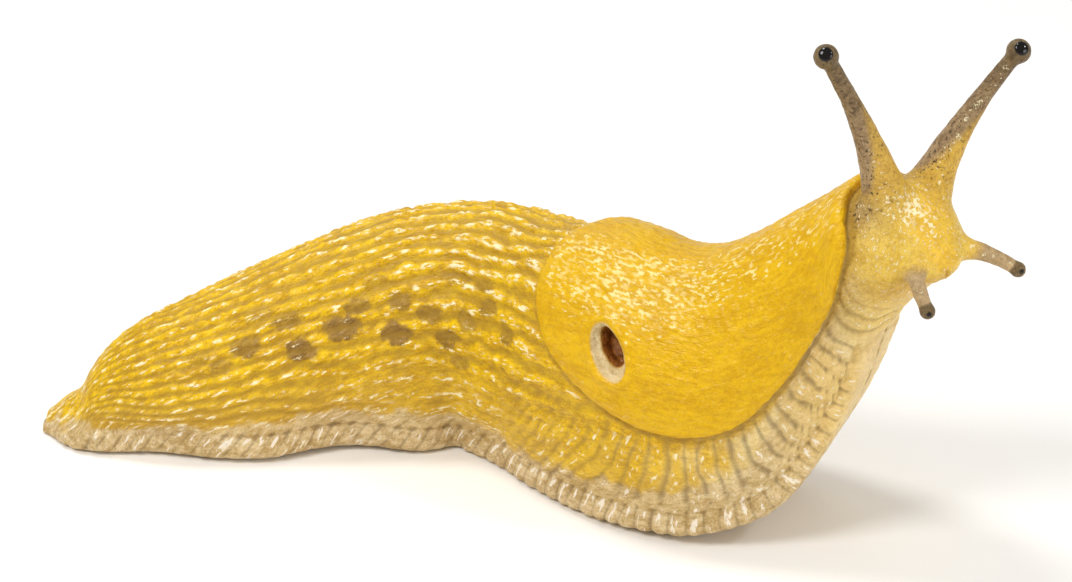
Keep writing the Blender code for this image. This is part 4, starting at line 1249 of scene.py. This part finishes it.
# %% Place the pieces
solid_eye = np.array(sum(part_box("eye_left"), Vector())) / 2
move = Matrix.Translation(solid_eye - EYES["left"][0] * MM) @ Matrix.Scale(MM, 4)
for piece in (skin, *eyes):
    piece.data.transform(move)
    piece.data.update()
    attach(piece, "root")
for eye, name in zip(eyes, EYES):
    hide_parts("eye_" + name)
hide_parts(*[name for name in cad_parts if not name.startswith("eye_")])
print("origin of the shapes in the frame", [round(v / MM, 3) for v in move.translation], "mm")

# %% [markdown]
# ## Camera, floor and light
#
# The picture looks down on the slug by about 26 degrees, from its right, through a long lens, so near and far
# parts keep almost the same scale. Photographers light a wet animal with large soft sources, because each source
# is mirrored in the mucus: a broad one above gives the rows their chains of glints, and a pale room fills the
# shadows.

# %% Camera
LENS = 135.0
SENSOR = 36.0
ELEVATION = math.radians(26)
AIM = Vector((0.0, 4.0, 20.7))
WIDE_MM = 107.2
distance = WIDE_MM * LENS / SENSOR
camera_data = bpy.data.cameras.new("camera")
camera_data.lens = LENS
camera_data.sensor_width = SENSOR
camera_data.clip_start = 0.01
camera = placed("camera", camera_data)
camera.location = move @ (AIM + distance * Vector((0.0, -math.cos(ELEVATION), math.sin(ELEVATION))))
camera.rotation_euler = (math.pi / 2 - ELEVATION, 0.0, 0.0)
bpy.context.scene.camera = camera
print("camera at", [round(v, 3) for v in camera.location])

# %% Floor
FLOOR_HALF = 2.0
floor_mesh = bpy.data.meshes.new("floor")
corners = [(x * FLOOR_HALF, y * FLOOR_HALF, 0.0) for x, y in ((-1, -1), (1, -1), (1, 1), (-1, 1))]
floor_mesh.from_pydata(corners, [], [(0, 1, 2, 3)])
floor = placed("floor", floor_mesh)
# Matt paper scatters light evenly and mirrors nothing, so it shows only the slug's shadow
PAPER_WHITE = "#fefdfb"
floor_material, tree, output = fresh_material("matt paper floor")
shader = add(tree, "BsdfPrincipled", {"Base Color": linear(PAPER_WHITE), "Roughness": 0.9})
tree.links.new(shader.outputs[0], output.inputs["Surface"])
floor_mesh.materials.append(floor_material)

# %% Light
# Each lamp: name, place (m), width (m), power (W)
ROOM_LEVEL = 0.42
LAMPS = [
    ("key", (-0.26, -0.20, 0.40), 0.20, 1.1),
    ("top", (-0.12, 0.09, 0.48), 0.12, 0.8),
    ("fill", (0.44, -0.36, 0.18), 0.30, 0.8),
    ("crown", (0.34, -0.12, 0.36), 0.06, 0.3),
    ("back", (-0.10, 0.50, 0.30), 0.35, 0.3),
]
world = bpy.data.worlds.new("pale room")
world.use_nodes = True
world.node_tree.nodes["Background"].inputs["Color"].default_value = linear("#fbfaf8")
world.node_tree.nodes["Background"].inputs["Strength"].default_value = ROOM_LEVEL
bpy.context.scene.world = world
for name, place, size, power_watts in LAMPS:
    lamp = bpy.data.lights.new(name, "AREA")
    lamp.shape = "DISK"
    lamp.size = size
    lamp.energy = power_watts
    light = placed(name, lamp)
    light.location = place
    light.rotation_euler = (Vector((0, 0, 0.02)) - light.location).to_track_quat("-Z", "Y").to_euler()
bpy.context.scene.view_settings.view_transform = "Standard"

# %% Finish
print("triangles of the skin", 2 * len(skin.data.polygons))
